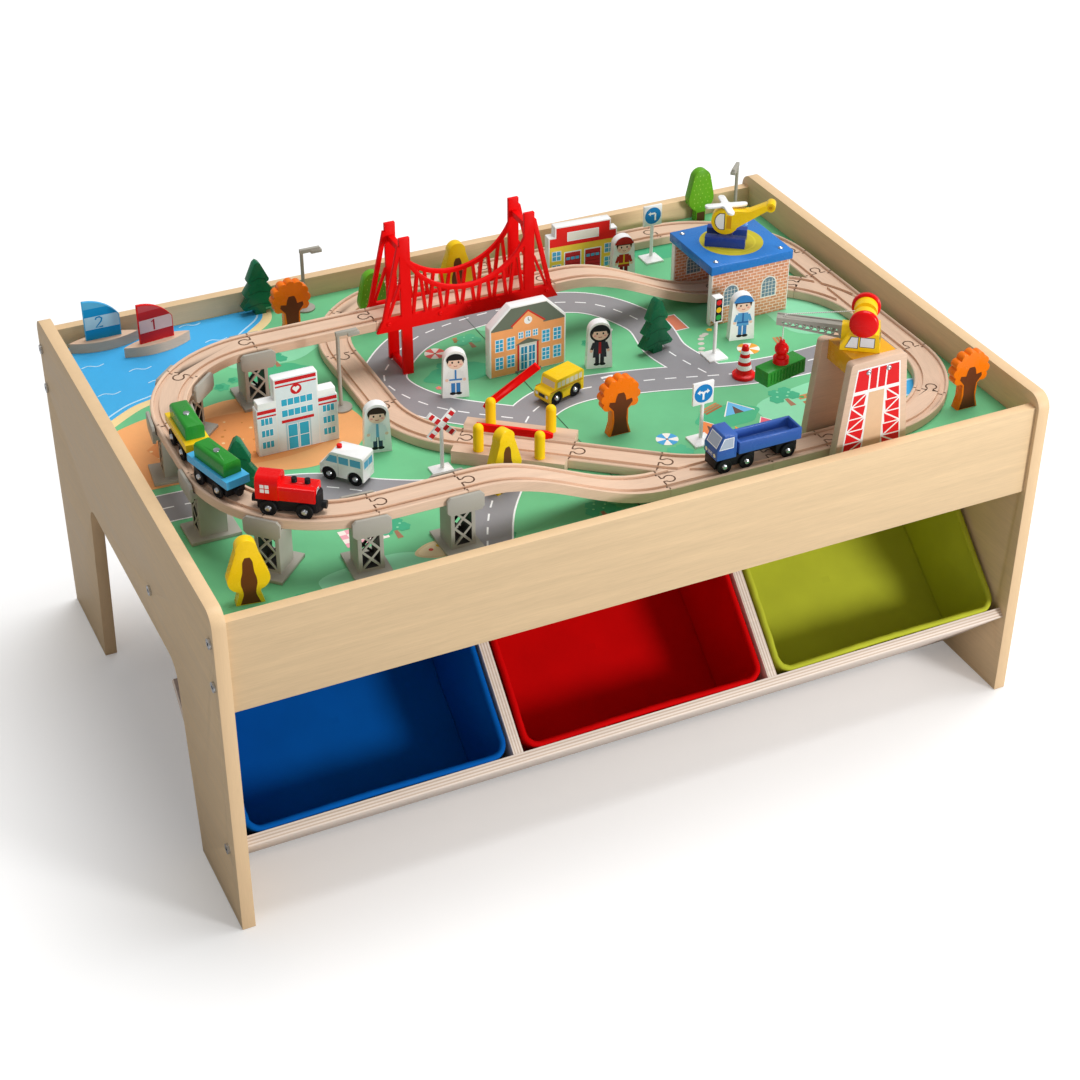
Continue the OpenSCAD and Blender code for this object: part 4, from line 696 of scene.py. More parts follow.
def checks(sheet, x, y, across, down, code):
    """Checked cloth of 8 mm squares."""
    for i in range(across):
        for k in range(down):
            sheet.box(x + 8 * i, y + 8 * k, 8, 8, (code, "#FBEDE4")[(i + k) % 2], 1)


def print_gardens(sheet):
    """Bushes, a pond, garden beds and a ball court beside the roads."""
    for x, y, r in ((-128, 58, 9), (-150, 44, 7), (112, 62, 10), (130, 50, 7), (420, -60, 10), (404, -48, 7),
                    (-330, 150, 9), (-312, 160, 7), (212, -222, 9), (330, -300, 8), (-30, -280, 9),
                    (-390, -290, 8), (350, 292, 9), (-60, 268, 8), (90, 292, 8)):
        sheet.disc(x, y, r, LAWN_DARK, 1, wave=0.12, waves=6, count=30)
        sheet.disc(x - r / 4, y + r / 5, 0.6 * r, "#39A274", 2, wave=0.12, waves=6, count=24)
    for x, y, code in ((-98, 40, ROSE), (150, 82, WHITE), (390, -150, ROSE), (-250, -300, WHITE),
                       (30, -196, "#F9D54A"), (262, 30, "#F9D54A"), (-40, 232, WHITE), (-196, 206, ROSE)):
        for i in range(5):
            sheet.disc(*ray(72 * i, 2.4, x, y), 1.7, code, 1, count=10)
        sheet.disc(x, y, 1.5, AMBER, 2, count=10)
    for layer, (rx, ry, code) in enumerate(((30, 20, FOAM), (26, 16.5, WATER)), 1):
        sheet.disc(418, -196, rx, code, layer, ry, wave=0.06, waves=3, count=40)
    for i, code in enumerate(("#3FA85B", "#E4584A", "#3FA85B", "#F3A43A")):
        sheet.box(276, -164 - 14 * i, 60, 9, ("#C98B58", "#B87544")[i % 2], 1)
        for k in range(7):
            sheet.disc(281 + 8.4 * k, -159.5 - 14 * i, 2.6, code, 2, count=12)
    sheet.box(180, 44, 62, 40, LINE, 1)
    sheet.box(181.6, 45.6, 58.8, 36.8, "#E98A6B", 2)
    sheet.box(210.2, 45.6, 1.6, 36.8, LINE, 3)
    sheet.disc(211, 64, 8, LINE, 3)
    sheet.disc(211, 64, 6.6, "#E98A6B", 4)
    checks(sheet, -2, 196, 5, 4, CORAL)
    for x, y, r, code in ((-70, 118, 13, CORAL), (282, -32, 14, "#F5A93B"), (-104, 286, 12, CORAL),
                          (92, -176, 13, "#4FA7DD")):
        for i in range(8):
            sheet.disc(x, y, r, (code, CREAM)[i % 2], 1, start=45 * i, end=45 * i + 45, count=5)
        sheet.disc(x, y, 1.6, "#8A5A3A", 2, count=10)
    for x, y, turn in ((172, -142, 20), (-24, 132, -10), (330, -36, 80), (-150, 24, 60), (40, 118, 15)):
        a = Vector(ray(turn))
        for k, code in enumerate(("#A8683C", "#B97848", "#C98B58")):
            mid = Vector((x, y)) + 4.2 * k * a.orthogonal()
            sheet.stroke([mid - 14 * a, mid + 14 * a], 3.2, code, 1)
    for i in range(9):
        sheet.disc(252 - 5.4 * i, 22 - 6.5 * i + 5 * math.sin(i), 4.4, "#D9D4C8", 1, 3.4, count=12)


def print_park(sheet):
    """Trees, tents with a camp fire, a picnic cloth and a sand pit on the lawns."""
    for x, y, k, code in ((-66, 52, 1.15, LEAF), (-20, 112, 0.9, LEAF_PALE), (66, 108, 1.0, LEAF),
                          (262, -172, 1.1, LEAF), (92, -226, 0.9, LEAF_PALE), (-258, -232, 1.0, LEAF),
                          (-160, -292, 0.9, LEAF_DARK), (-42, -292, 1.0, LEAF), (352, 230, 1.0, LEAF),
                          (404, 60, 1.1, LEAF_DARK), (-252, 168, 0.9, LEAF), (-118, 250, 0.8, LEAF_PALE)):
        trunk = ((-3.4, 0), (3.4, 0), (2, 15), (-2, 15))
        sheet.fill([(x + dx * k, y + dy * k) for dx, dy in trunk], "#A9765A", 1)
        for dx, dy, r in ((-10, 18, 8), (10, 19, 8), (0, 25, 10), (-6, 30, 7), (7, 31, 7)):
            sheet.disc(x + dx * k, y + dy * k, r * k, code, 2, wave=0.1, waves=6, count=24)
        for dx, dy in ((-7, 22), (4, 20), (9, 26), (-2, 31)):
            sheet.disc(x + dx * k, y + dy * k, 1.5 * k, LAWN, 2.5, count=8)
    for x, y, code in ((148, -186, "#F08A4B"), (196, -160, "#6CB9E6"), (214, -206, "#E9657A")):
        sheet.fill([(x - 19, y), (x + 19, y), (x, y + 27)], code, 1)
        sheet.fill([(x - 6, y), (x + 6, y), (x, y + 17)], "#6A4E42", 2)
        sheet.stroke([(x - 20, y - 0.6), (x, y + 27.8), (x + 20, y - 0.6)], 1.6, CREAM, 2)
    for i in range(9):
        c, s = ray(40 * i)
        sheet.disc(176 + 8 * c, -196 + 6 * s, 2.2, "#B9B2A6", 1, 1.8, count=8)
    sheet.fill([(171, -198), (181, -198), (176, -184)], AMBER, 2)
    sheet.fill([(173.4, -198), (178.6, -198), (176, -190)], "#E4584A", 2.5)
    checks(sheet, -316, -226, 6, 4, "#F3A9B5")
    for layer, (rx, ry, code) in enumerate(((26, 15, "#E9CF9E"), (22, 12, "#F4DDB2")), 1):
        sheet.disc(-230, -268, rx, code, layer, ry, wave=0.04, waves=4, count=32)
    for x, y, code in ((-238, -266, "#E4584A"), (-224, -272, "#4FA7DD"), (-228, -262, "#F3C53A")):
        sheet.disc(x, y, 2.6, code, 2.5, count=12)


def build_board_print():
    sheet = Print().on(spot(0, 0))
    print_ground(sheet)
    print_gardens(sheet)
    print_park(sheet)
    print_roads(sheet, (
        [(-196, -319), (-150, -222), (-77, -128), (-22, -58), (44, -34), (132, -48), (262, -84), (378, -86),
         (486, -64)],
        [(-110, -172), (-186, -168), (-244, -142), (-306, -100), (-376, -82), (-440, -74), (-486, -72)],
        [(208, -68), (190, 6), (196, 82), (150, 160), (46, 186), (-66, 168), (-128, 120), (-150, 70), (-118, 0),
         (-40, -66)],
    ), 52)
    for k in range(6):
        y = -59 + 7.6 * k
        sheet.stroke([(86, y), (102, y)], 4.2, LINE, 6)
    # Dark line where the two halves of the board meet: painted shade of the seam between them
    sheet.box(-0.35, -EDGE_Y, 0.7, 2 * EDGE_Y, "#3E5A4B", 7)
    sheet.piece("board_print", "table", "printed_board")


# Bins

# Place of the bin rack
RACK = Matrix.Translation((0, -0.324, 0.118)) @ Matrix.Rotation(TILT, 4, "X")
# A bin's width and height at its mouth, depth, taper, corner radius and lowest edge, in mm
BIN_W, BIN_H, BIN_D, BIN_TAPER, BIN_R, BIN_LOW = 299.33, 212.0, 120.0, 9.0, 18.0, 0.4
# Points of a ring's corner, parts of its straight sides, and rings of the floor
CORNER_POINTS, SIDE_PARTS, FLOOR_RINGS = 7, 30, 12
# How far hem, seam and stitches lie in from the cloth, and the last two above or below its edge, in metres
HEM_IN, SEAM_IN, SEAM_UP, ROW_IN, ROW_DOWN = 0.0036, 0.0026, 0.0022, 0.0024, 0.0095
# Puckers of a hem in the corners and along the sides, in metres, and how many lie on a metre
CORNER_PUCKER, SIDE_PUCKER, PUCKERS = 0.0012, 0.0003, 190


def bin_ring(t, inset, lean):
    """Round-cornered ring of a bin at height t from floor to mouth, with its inset and its sides' lean in mm."""
    back = BIN_TAPER * (1 - t)
    half = BIN_W / 2 - back - inset + lean
    low, high = BIN_LOW + inset, BIN_H - back - inset
    r = max(BIN_R - 12.0 * (1 - t) - inset, 3.0)
    corners = [(half - r, low + r), (half - r, high - r), (r - half, high - r), (r - half, low + r)]
    ring, runs = [], []
    for k, corner in enumerate(corners):
        turn = 90 * k - 90
        for i in range(CORNER_POINTS):
            ring.append(Vector(ray(turn + 90 * i / (CORNER_POINTS - 1), r, *corner)))
            runs.append(0.0)
        start, end = ring[-1], Vector(ray(turn + 90, r, *corners[(k + 1) % 4]))
        for i in range(1, SIDE_PARTS):
            ring.append(start.lerp(end, i / SIDE_PARTS))
            runs.append(math.sin(math.pi * i / SIDE_PARTS))
    return ring, runs


def bin_rings(x):
    """Rings of a bin's wall from floor to mouth and of its floor from outside in, in mm on the rack."""
    s = sizes()
    seed = Vector((x * 0.013, 4.1, 7.7))
    middle = Vector((0, (BIN_LOW + BIN_H - BIN_TAPER) / 2))

    def rough(p, z, fine):
        return noise.noise(Vector((p.x, p.y, z)) * fine + seed)

    def lift(y):
        return s.tip / MM * (1 - y / BIN_H)

    wall, floor = [], []
    for t in (level / s.rings for level in range(s.rings + 1)):
        row = []
        for p, run in zip(*bin_ring(t, 0.5 + 2.2 * (1 - t) ** 6, s.lean / MM * t ** 2)):
            bow = s.sag / MM * run * (0.35 + 0.65 * t) * math.sin(math.pi * (0.15 + 0.75 * t))
            ripple = 1.3 * rough(p, 60 * t, 0.016) + 0.7 * rough(p, 90 * t, 0.04)
            crease = 1.1 * t ** 4 * rough(p, 0, 0.085)
            slack = (bow + (ripple + 0.9) * (0.3 + 0.7 * run)) * (1 - 0.9 * t ** 3) + 0.5 * crease
            q = p + (middle - p).normalized() * max(0.0, slack)
            z = -BIN_D + 0.4 + lift(p.y) * (1 - t) + t * (BIN_D - 3.9) + 0.5 * crease
            row.append(Vector((q.x, q.y, z)))
        wall.append(row)
    for k in range(1, FLOOR_RINGS + 1):
        f = 1 - (k / FLOOR_RINGS) ** 0.9 * 0.96
        row = []
        for p in wall[0]:
            q = middle + (p.xy - middle) * f
            swell = 3.2 * (1 - f ** 2) + 1.6 * rough(q, 3, 0.02) * (1 - f)
            row.append(Vector((q.x, q.y, -BIN_D + 0.4 + lift(q.y) + max(0.0, swell))))
        floor.append(row)
    return wall, floor


def bin_cloth(name, x, key):
    """Sewn fabric bin: walls that bow in between the corners, a slack floor, cloth of even thickness."""
    wall, floor = bin_rings(x)
    rings = floor[::-1] + wall
    count = len(rings[0])
    bm = bmesh.new()
    uv = bm.loops.layers.uv.new("weave")
    on_rack = [[RACK @ ((p + Vector((x, 0, 0))) * MM) for p in row] for row in rings]
    verts = [[bm.verts.new(p) for p in row] for row in on_rack]
    walk = [0.0]
    for i in range(count):
        walk.append(walk[-1] + (rings[-1][(i + 1) % count] - rings[-1][i]).length)
    for face, corners in loft(bm, verts):
        on_floor = corners[0][0] < FLOOR_RINGS
        for loop, (row, col) in zip(face.loops, corners):
            p = rings[row][col % count]
            loop[uv].uv = p.xy * MM if on_floor else (walk[col] * MM, p.z * MM)
    bm.faces.new(verts[0][::-1])
    bmesh.ops.recalc_face_normals(bm, faces=bm.faces[:])
    piece = as_piece(name + "_cloth", bm, (key + " cloth",), 50)
    thick = piece.modifiers.new("Cloth thickness", "SOLIDIFY")
    thick.thickness = sizes().cloth
    thick.offset = -1.0 if piece.data.polygons[0].normal.dot(RACK.to_3x3() @ Vector(UPRIGHT)) < 0 else 1.0
    return piece, on_rack[-1], on_rack[FLOOR_RINGS]


def apply_modifiers(piece):
    """Bakes a piece's modifiers into its mesh."""
    bpy.context.view_layer.update()
    shaped = bpy.data.meshes.new_from_object(piece.evaluated_get(bpy.context.evaluated_depsgraph_get()))
    shaped.name = piece.data.name
    piece.modifiers.clear()
    piece.data = shaped


def tube_mesh(name, path, radius, key, sides=8, closed=False):
    """Round tube along a path in metres, mapped along its length."""
    bm = bmesh.new()
    uv = bm.loops.layers.uv.new("lay")
    rings, walk, side = [], [0.0], None
    for i, p in enumerate(path):
        a = path[i - 1] if i or closed else p
        b = path[(i + 1) % len(path)] if closed or i + 1 < len(path) else p
        t = (b - a).normalized()
        side = t.orthogonal().normalized() if side is None else (side - t * side.dot(t)).normalized()
        up = t.cross(side)
        rings.append([bm.verts.new(p + radius * (math.cos(w) * side + math.sin(w) * up))
                      for w in (2 * math.pi * k / sides for k in range(sides))])
        walk.append(walk[-1] + (path[(i + 1) % len(path)] - p).length)
    for face, corners in loft(bm, rings + rings[:1] if closed else rings):
        for loop, (row, col) in zip(face.loops, corners):
            loop[uv].uv = (walk[row], col / sides * 2 * math.pi * radius)
    if not closed:
        bm.faces.new(rings[0][::-1])
        bm.faces.new(rings[-1])
    bmesh.ops.recalc_face_normals(bm, faces=bm.faces[:])
    return as_piece(name, bm, (key,), 180)


def stitch_tree():
    """Node group that sews stitches of thread along an edge loop."""
    tree = bpy.data.node_groups.new("Sewn stitches", "GeometryNodeTree")
    for label, way, kind in (("Geometry", "INPUT", "Geometry"), ("Pitch", "INPUT", "Float"),
                             ("Stitch", "INPUT", "Float"), ("Thread", "INPUT", "Float"),
                             ("Material", "INPUT", "Material"), ("Geometry", "OUTPUT", "Geometry")):
        tree.interface.new_socket(label, in_out=way, socket_type="NodeSocket" + kind)
    start, end, line, points, thread, sewn, real, paint = (tree.nodes.new(kind) for kind in (
        "NodeGroupInput", "NodeGroupOutput", "GeometryNodeMeshToCurve", "GeometryNodeCurveToPoints",
        "GeometryNodeMeshCylinder", "GeometryNodeInstanceOnPoints", "GeometryNodeRealizeInstances",
        "GeometryNodeSetMaterial"))
    points.mode = "LENGTH"
    thread.inputs["Vertices"].default_value = 6
    for source, output, target, socket in (
        (start, "Geometry", line, "Mesh"), (line, "Curve", points, "Curve"), (start, "Pitch", points, "Length"),
        (start, "Thread", thread, "Radius"), (start, "Stitch", thread, "Depth"), (points, "Points", sewn, "Points"),
        (points, "Rotation", sewn, "Rotation"), (thread, "Mesh", sewn, "Instance"),
        (sewn, "Instances", real, "Geometry"), (real, "Geometry", paint, "Geometry"),
        (start, "Material", paint, "Material"), (paint, "Geometry", end, "Geometry"),
    ):
        tree.links.new(source.outputs[output], target.inputs[socket])
    return tree


def sew(tree, name, loop, material):
    """Row of stitches along a closed loop of points."""
    s = sizes()
    mesh = bpy.data.meshes.new(name)
    mesh.from_pydata([tuple(p) for p in loop], [(i, (i + 1) % len(loop)) for i in range(len(loop))], [])
    piece = bpy.data.objects.new(name, mesh)
    bpy.context.scene.collection.objects.link(piece)
    rows = piece.modifiers.new("Stitches", "NODES")
    rows.node_group = tree
    values = {"Pitch": s.stitch_pitch, "Stitch": s.stitch, "Thread": s.thread, "Material": material}
    for item in tree.interface.items_tree:
        if item.name in values:
            rows[item.identifier] = values[item.name]
    apply_modifiers(piece)
    bpy.context.scene.collection.objects.unlink(piece)
    return piece


def inward(loop):
    """Direction from each point of a loop to its middle."""
    centre = sum(loop, Vector()) / len(loop)
    return [(centre - p).normalized() for p in loop]


def build_bins():
    s = sizes()
    tree = stitch_tree()
    up = RACK.to_3x3() @ Vector(UPRIGHT)
    for name, x, key in (("blue_bin", -327.33, "blue"), ("red_bin", 0.0, "red"), ("green_bin", 327.33, "lime")):
        fabric, slot = key + " cloth", key + "_fabric"
        cloth, rim, foot = bin_cloth(name, x, key)
        settle(cloth, name, slot, name)
        apply_modifiers(cloth)
        fold = []
        for i, (p, w) in enumerate(zip(rim, inward(rim))):
            in_corner = i % (CORNER_POINTS + SIDE_PARTS - 1) < CORNER_POINTS
            pucker = (CORNER_PUCKER if in_corner else SIDE_PUCKER) * noise.noise(PUCKERS * p)
            fold.append(p + (HEM_IN + pucker) * w + pucker * up)
        hem = tube_mesh(name + "_hem", fold, s.hem, fabric, 12, True)
        settle(hem, name, slot, name)
        line = [p + SEAM_IN * w + SEAM_UP * up for p, w in zip(foot, inward(foot))]
        seam = tube_mesh(name + "_seam", line, s.seam, fabric, 8, True)
        settle(seam, name, slot, name)
        row = [p + ROW_IN * w - ROW_DOWN * up for p, w in zip(rim, inward(rim))]
        stitches = sew(tree, name + "_stitches", row, stock(fabric))
        settle(stitches, name, slot, name)


# Railway

# Nodes of the wooden track; the level crossing also has plastic posts
TRACKS = ("track_straights", "track_curves", "track_ramps_and_switches", "bridge_deck", "level_crossing")


def build_railway():
    edge = sizes().plastic_edge
    for node in TRACKS[:4]:
        dress(node, "beech", slot="beech")
    bm = merged("track_pillars")
    feet = []
    for island in islands(bm):
        low = [v.co / MM for face in island for v in face.verts if v.co.z / MM < BOARD + 0.5]
        feet.append(sum((p.xy for p in low), Vector((0, 0))) / len(low))
    bm.free()

    # Faces turned to each pillar's axis, and its low floor, take darker grey: painted shade within the hollow pillar
    def painted_shade_faces(c, n):
        foot = min(feet, key=lambda f: (f - c.xy).length)
        inner = (foot - c.xy).dot(n.xy) > 0.5 or (n.z > 0.9 and 7.5 < c.z - BOARD < 8.5)
        return inner and c.z < BOARD + 48

    dress("track_pillars", ("grey plastic", "dark plastic"), edge, pick=painted_shade_faces)
    dress("level_crossing", ("beech", "yellow plastic"), 0.0, "beech", lambda c, n: c.z > BOARD + 16.6)
    for node in ("near_barrier", "far_barrier", "bridge_frame"):
        dress(node, "red plastic", edge)


def build_joint_shade_lines():
    """Dark saw lines along the edges where two pieces of track meet."""
    parts = [merged(node) for node in TRACKS]
    trees = [BVHTree.FromBMesh(bm) for bm in parts]
    sheet = Print()
    for edge in (edge for bm in parts for edge in bm.edges):
        faces = sorted(edge.link_faces, key=lambda f: -f.normal.z)
        if len(faces) != 2 or faces[0].normal.z < 0.85 or abs(faces[1].normal.z) > 0.3:
            continue
        up, away = faces[0].normal, faces[1].normal
        a, b = (v.co for v in edge.verts)
        start = (a + b) / 2 - MM * up + 0.05 * MM * away
        hits = [tree.ray_cast(start, away, 1.2 * MM) for tree in trees]
        if any(hit[0] and hit[1].dot(away) < -0.5 for hit in hits):
            along = (b - a).normalized()
            flat = Matrix((along, up.cross(along), up)).transposed().to_4x4()
            side = sizes().saw / MM * (-1 if away.dot(up.cross(along)) > 0 else 1)
            # Dark brown strip beside the joint: painted shade of the gap, and the burnt cut edge
            sheet.on(Matrix.Translation(a) @ flat).box(0, 0, (b - a).length / MM, side, "#553826")
    for bm in parts:
        bm.free()
    sheet.piece("track_joint_lines", "table", "beech")


def screws(name, slot, places, radius, key="steel", sides=16):
    """Pan head screws with a recess; each place is a plane that faces out."""
    bm = bmesh.new()
    for place in places:
        rings = [ring_of(bm, place, radius * r, radius * h, sides)
                 for r, h in ((1.0, 0.0), (1.0, 0.22), (0.8, 0.42), (0.5, 0.5))]
        loft(bm, rings)
        deep = bm.verts.new(place @ Vector((0, 0, radius * 0.12 * MM)))
        for a, b in zip(rings[-1], rings[-1][1:] + rings[-1][:1]):
            bm.faces.new((a, b, deep))
    return settle(as_piece(name, bm, (key,), 40), "table", slot)


def build_bridge_screws():
    faces = [plane(spot(x, y), (0, 0, 72.5), (side, 0, 0)) for x in (-140.5, -75.0, -38.0, 0.0, 64.5)
             for side, y in ((1, 85.5), (-1, 134.5))]
    screws("bridge_screws", "red_plastic", faces, 3.0, "red plastic")


# Vehicles

def wheels(heading, *nodes):
    """Black tyres and bright hub caps of a vehicle's axles."""
    axis = Vector((*ray(heading + 90), 0))
    for node in nodes:
        low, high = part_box(node)
        mid = (Vector(low) + Vector(high)) / 2 / MM
        for face in coat(node, "black plastic", "steel").polygons:
            d = face.center / MM - mid
            reach = d.dot(axis)
            if abs(reach) > 11.0 and (d - reach * axis).length < HUB:
                face.material_index = 1


def rect(a, b, z0, z1):
    return slant(a, b, b, z0, z1)


def on_ends(sheet, place, *ends):
    """Prints a vehicle's ends: origin, way to the right, way up, pairs of lamps, and boxes."""
    for origin, right, up, lamps, boxes in ends:
        sheet.on(plane(place, origin, (0, right, 0), up))
        for x, y, r, code in lamps:
            for side in (-x, x):
                sheet.disc(side, y, r, code)
        for box in boxes:
            sheet.box(*box)


def build_train():
    edge, paper = sizes().toy_edge, "#F7F4EE"
    boiler_top, bed_top, load_top = 33.3, 25.05, 41.05
    loco = spot(-379.6, -239.1, 324, RAISED)
    dress("loco_body", ("red", "black plastic"), edge, None, lambda p, n: p.z > boiler_top and p.x > 1, loco)
    dress("loco_chassis", "black plastic", edge / 2)
    sheet = Print()
    on_sides(sheet, loco, 13.0, [(rect(-26.5 + 5.2 * i, -22.3 + 5.2 * i, 24 + 5.2 * k, 28.2 + 5.2 * k), paper, 0)
                                 for i in range(2) for k in range(2)])
    sheet.on(plane(loco, (30, 0, 16), (0, 1, 0)))
    sheet.disc(0, 7.5, 5.4, paper)
    sheet.disc(0, 7.5, 4.4, "#2A2A2C", 1)
    for k in range(3):
        sheet.box(-3.2, 4.6 + 2.4 * k, 6.4, 0.9, paper, 2)
    sheet.piece("loco_print", "loco", "white_paint")
    for name, x, y, turn, key in (("blue_wagon", -430.4, -165.7, 285, "sky"),
                                  ("yellow_wagon", -436, -82, -90, "yellow")):
        dress(name + "_bed", (key, "container", "steel"), edge, None,
              lambda p, n: (p.z >= bed_top) + (p.z >= load_top), spot(x, y, turn, RAISED))
        dress(name + "_chassis", "black plastic", edge / 2)
    for name, turn in (("loco", 324), ("blue_wagon", 285), ("yellow_wagon", -90)):
        wheels(turn, name + "_front_axle", name + "_rear_axle")


def build_truck():
    edge, place = sizes().toy_edge, spot(107, -266, 180, TRACK)
    rim, glass, blue = "#F4F6FA", "#AEB9CC", "#2C58A4"
    dress("truck_body", "lorry", edge, "blue_paint")
    dress("truck_chassis", "black plastic", edge / 2)
    sheet = Print()
    sides = glazed(0.9, rim, glass, (-9, 7.6, 1.6, 14, 26)) + [(rect(-12.5, -11.3, 4, 26), blue, 0)]
    on_sides(sheet, place, 14.5, sides, 16)
    grille = [(-5.5, 3, 11, 4.5, blue)] + [(-4.8, 3.6 + 1.3 * k, 9.6, 0.6, rim, 1) for k in range(3)]
    on_ends(sheet, place,
            ((11, 0, 28), 1, (-9, 0, 18), (), ((-11, 2.5, 22, 14.5, rim), (-10, 3.5, 20, 12.5, glass, 1))),
            ((11, 0, 16), 1, UPRIGHT, ((9, 5, 2.4, "#F7F1C8"),), grille))
    sheet.piece("truck_print", "truck", "white_paint")
    wheels(180, "truck_front_axle", "truck_middle_axle", "truck_rear_axle")


def build_bus():
    place, glass = spot(22, -38, 198), "#E8D9C3"
    dress("bus_body", "yellow", sizes().toy_edge)
    sheet = Print()
    panes = [(-25 + 6.9 * i, -19.6 + 6.9 * i) for i in range(5)] + [(9.6, 14.4)]
    on_sides(sheet, place, 12.5, [(rect(a, b, 22.5, 29.5), glass, 0) for a, b in panes]
             + [(rect(-26.5, 26, 19.2, 20.4), "#D7811F", 0)])
    on_ends(sheet, place,
            ((17.2, 0, 24.5), 1, (-2, 0, 11), (), ((-10, -2.5, 20, 7.5, glass),)),
            ((28, 0, 8), 1, UPRIGHT, ((8.5, 5.5, 2.1, WHITE),), ((-5, 3, 10, 4.4, "#3A3A3C"),)),
            ((-28, 0, 8), -1, UPRIGHT, ((9.5, 4, 1.6, "#C8161B"),), ((-9, 13, 18, 8, glass),)))
    sheet.piece("bus_print", "bus", "white_paint")
    wheels(198, "bus_front_axle", "bus_rear_axle")


def build_ambulance():
    place, glass = spot(-267, -98, 131), "#63B7DE"
    dress("ambulance_body", ("white", "red"), sizes().toy_edge, None, lambda c, n: c.z > BOARD + 38.05)
    sheet = Print()
    on_sides(sheet, place, 12.5, [(rect(-24, -11, 25, 34), glass, 0), (rect(-9, 3, 25, 34), glass, 0),
                                  (rect(3.6, 4.2, 9, 36), "#D3D6DA", 1), (slant(5, 19.5, 13.6, 25, 34), glass, 0)])
    on_ends(sheet, place,
            ((24, 0, 22), 1, (-10, 0, 14), (), ((-10.5, 2, 21, 12.5, glass),)),
            ((27, 0, 9), 1, UPRIGHT, ((8.5, 6.5, 2.0, "#F8E7A0"),), ((-5, 4, 10, 4.5, "#55585C"),)),
            ((-27, 0, 9), -1, UPRIGHT, (), [(x, 14, 9, 9, glass) for x in (-9.5, 0.5)]))
    sheet.piece("ambulance_print", "ambulance", "white_paint")
    wheels(131, "ambulance_front_axle", "ambulance_rear_axle")


# Crane and station

# Places of the gantry, of the crane on it, and of the station's middle in mm
GANTRY = spot(283, -266)
CRANE = spot(283, -266, 144, CAB)
STATION_X, STATION_Y = 321.5, 88.5


def build_cord():
    """Hoist cord from the winch over the jib's end to the magnet; its hanging end follows the hook."""
    jib_end = Vector((88, 0, 25.5))
    points = [Vector(p) for p in ((3, 0, 41.4), (30, 0, 37), (60, 0, 32.5), (85, 0, 28.6), (87.2, 0, 27.6),
                                  jib_end, (88, 0, 10), (88, 0, -4.5))]
    path = [CRANE @ (a.lerp(b, i / 4) * MM) for a, b in zip(points, points[1:]) for i in range(4)]
    path.append(CRANE @ (points[-1] * MM))
    cord = tube_mesh("hoist_cord", path, 0.0006, "cord", 10)
    settle(cord, None, "white_cord", "crane_cord")
    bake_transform(cord)


def draw_gantry(sheet):
    """White lattice on red, round a bare arch."""
    white, red = "#F6F3EF", "#E01B20"

    def half(z, inset=0.0):
        return 39.5 - 12 * (z - 6) / 112 - inset

    def band(z0, z1, inset, code, layer):
        a, b = half(z0, inset), half(z1, inset)
        sheet.fill([(-a, z0), (a, z0), (b, z1), (-b, z1)], code, layer)

    band(6, 116, 0.0, white, 0)
    for a in (-1, 1):
        for k in range(5):
            z0, z1 = 8 + 15.4 * k, 21.8 + 15.4 * k
            low, high = half(z0, 1.8), half(z1, 1.8)
            sheet.fill([(a * 15, z0), (a * low, z0), (a * high, z1), (a * 13, z1)], red, 1)
            foot, head = (15, high) if k % 2 else (low, 13)
            sheet.stroke([(a * foot, z0), (a * head, z1)], 1.8, white, 2)
    band(88, 114, 1.8, red, 1)
    for x in (-11, 0, 11):
        sheet.stroke([(x, 88), (x, 114)], 2.0, white, 2)
    sheet.fill([(-12, 6), (12, 6), (10, 84), (-10, 84)], "#E5BE97", 1)


def build_crane():
    edge, dark = sizes().toy_edge, "#4A4A4C"
    dress("crane_gantry", ("beech", "platform"), edge, "beech",
          lambda p, n: abs(p.y) < 24.95 and abs(p.x) < 28.1 and p.z > 99.5, GANTRY)
    sheet = Print()
    both_sides(sheet, GANTRY, 72, draw_gantry, 36)
    sheet.piece("gantry_print", "table", "red_paint")
    faces = [plane(GANTRY, (x, -36 * s, 110), (s, 0, 0)) for s in (1, -1) for x in (-13, 13)]
    screws("gantry_screws", "zinc_steel", faces, 3.2)
    dress("crane_cab", "yellow", edge / 2)
    dress("crane_jib", "grey plastic")
    dress("crane_winch", "red")
    dress("crane_load", ("red", "container"), edge / 2, None, lambda c, n: c.z < CAB - 32.4)
    sheet = Print()
    on_sides(sheet, CRANE, 18, glazed(0.8, dark, "#E9EDF0", (-13, 2, 2, 6, 17), (5, 18, 12, 4, 17)))
    on_ends(sheet, CRANE, ((-20, 0, 0), -1, (3, 0, 22), (), [(-12, 5 + 4 * k, 24, 2, dark) for k in range(3)]))
    sheet.piece("cab_print", "crane", "black_plastic")


def arched(sheet, x, y, w, h, glass, bar):
    """Arched window with a fine grid of bars."""
    for grow, code, layer in ((1.6, bar, 0), (0.0, glass, 1)):
        r = w / 2 + grow
        top = [ray(a, r, x, y + h - w / 2) for a in range(0, 181, 15)]
        sheet.fill([(x - r, y - grow), (x + r, y - grow)] + top, code, layer)
    for k in range(1, 4):
        sheet.box(x - w / 2 + k * w / 4 - 0.3, y, 0.6, h - w / 2 + 0.35 * w, bar, 2)
    for k in range(1, 5):
        sheet.box(x - w / 2, y + k * (h - w / 3) / 4 - 0.3, w, 0.6, bar, 2)


def draw_station_wall(sheet):
    for x in (-27, 27):
        arched(sheet, x, 25, 19, 26, "#6C8494", "#EFE6DE")
    for x in (-55.2, 54.2):
        sheet.box(x, 1, 1.0, 69, "#F3ECE6")


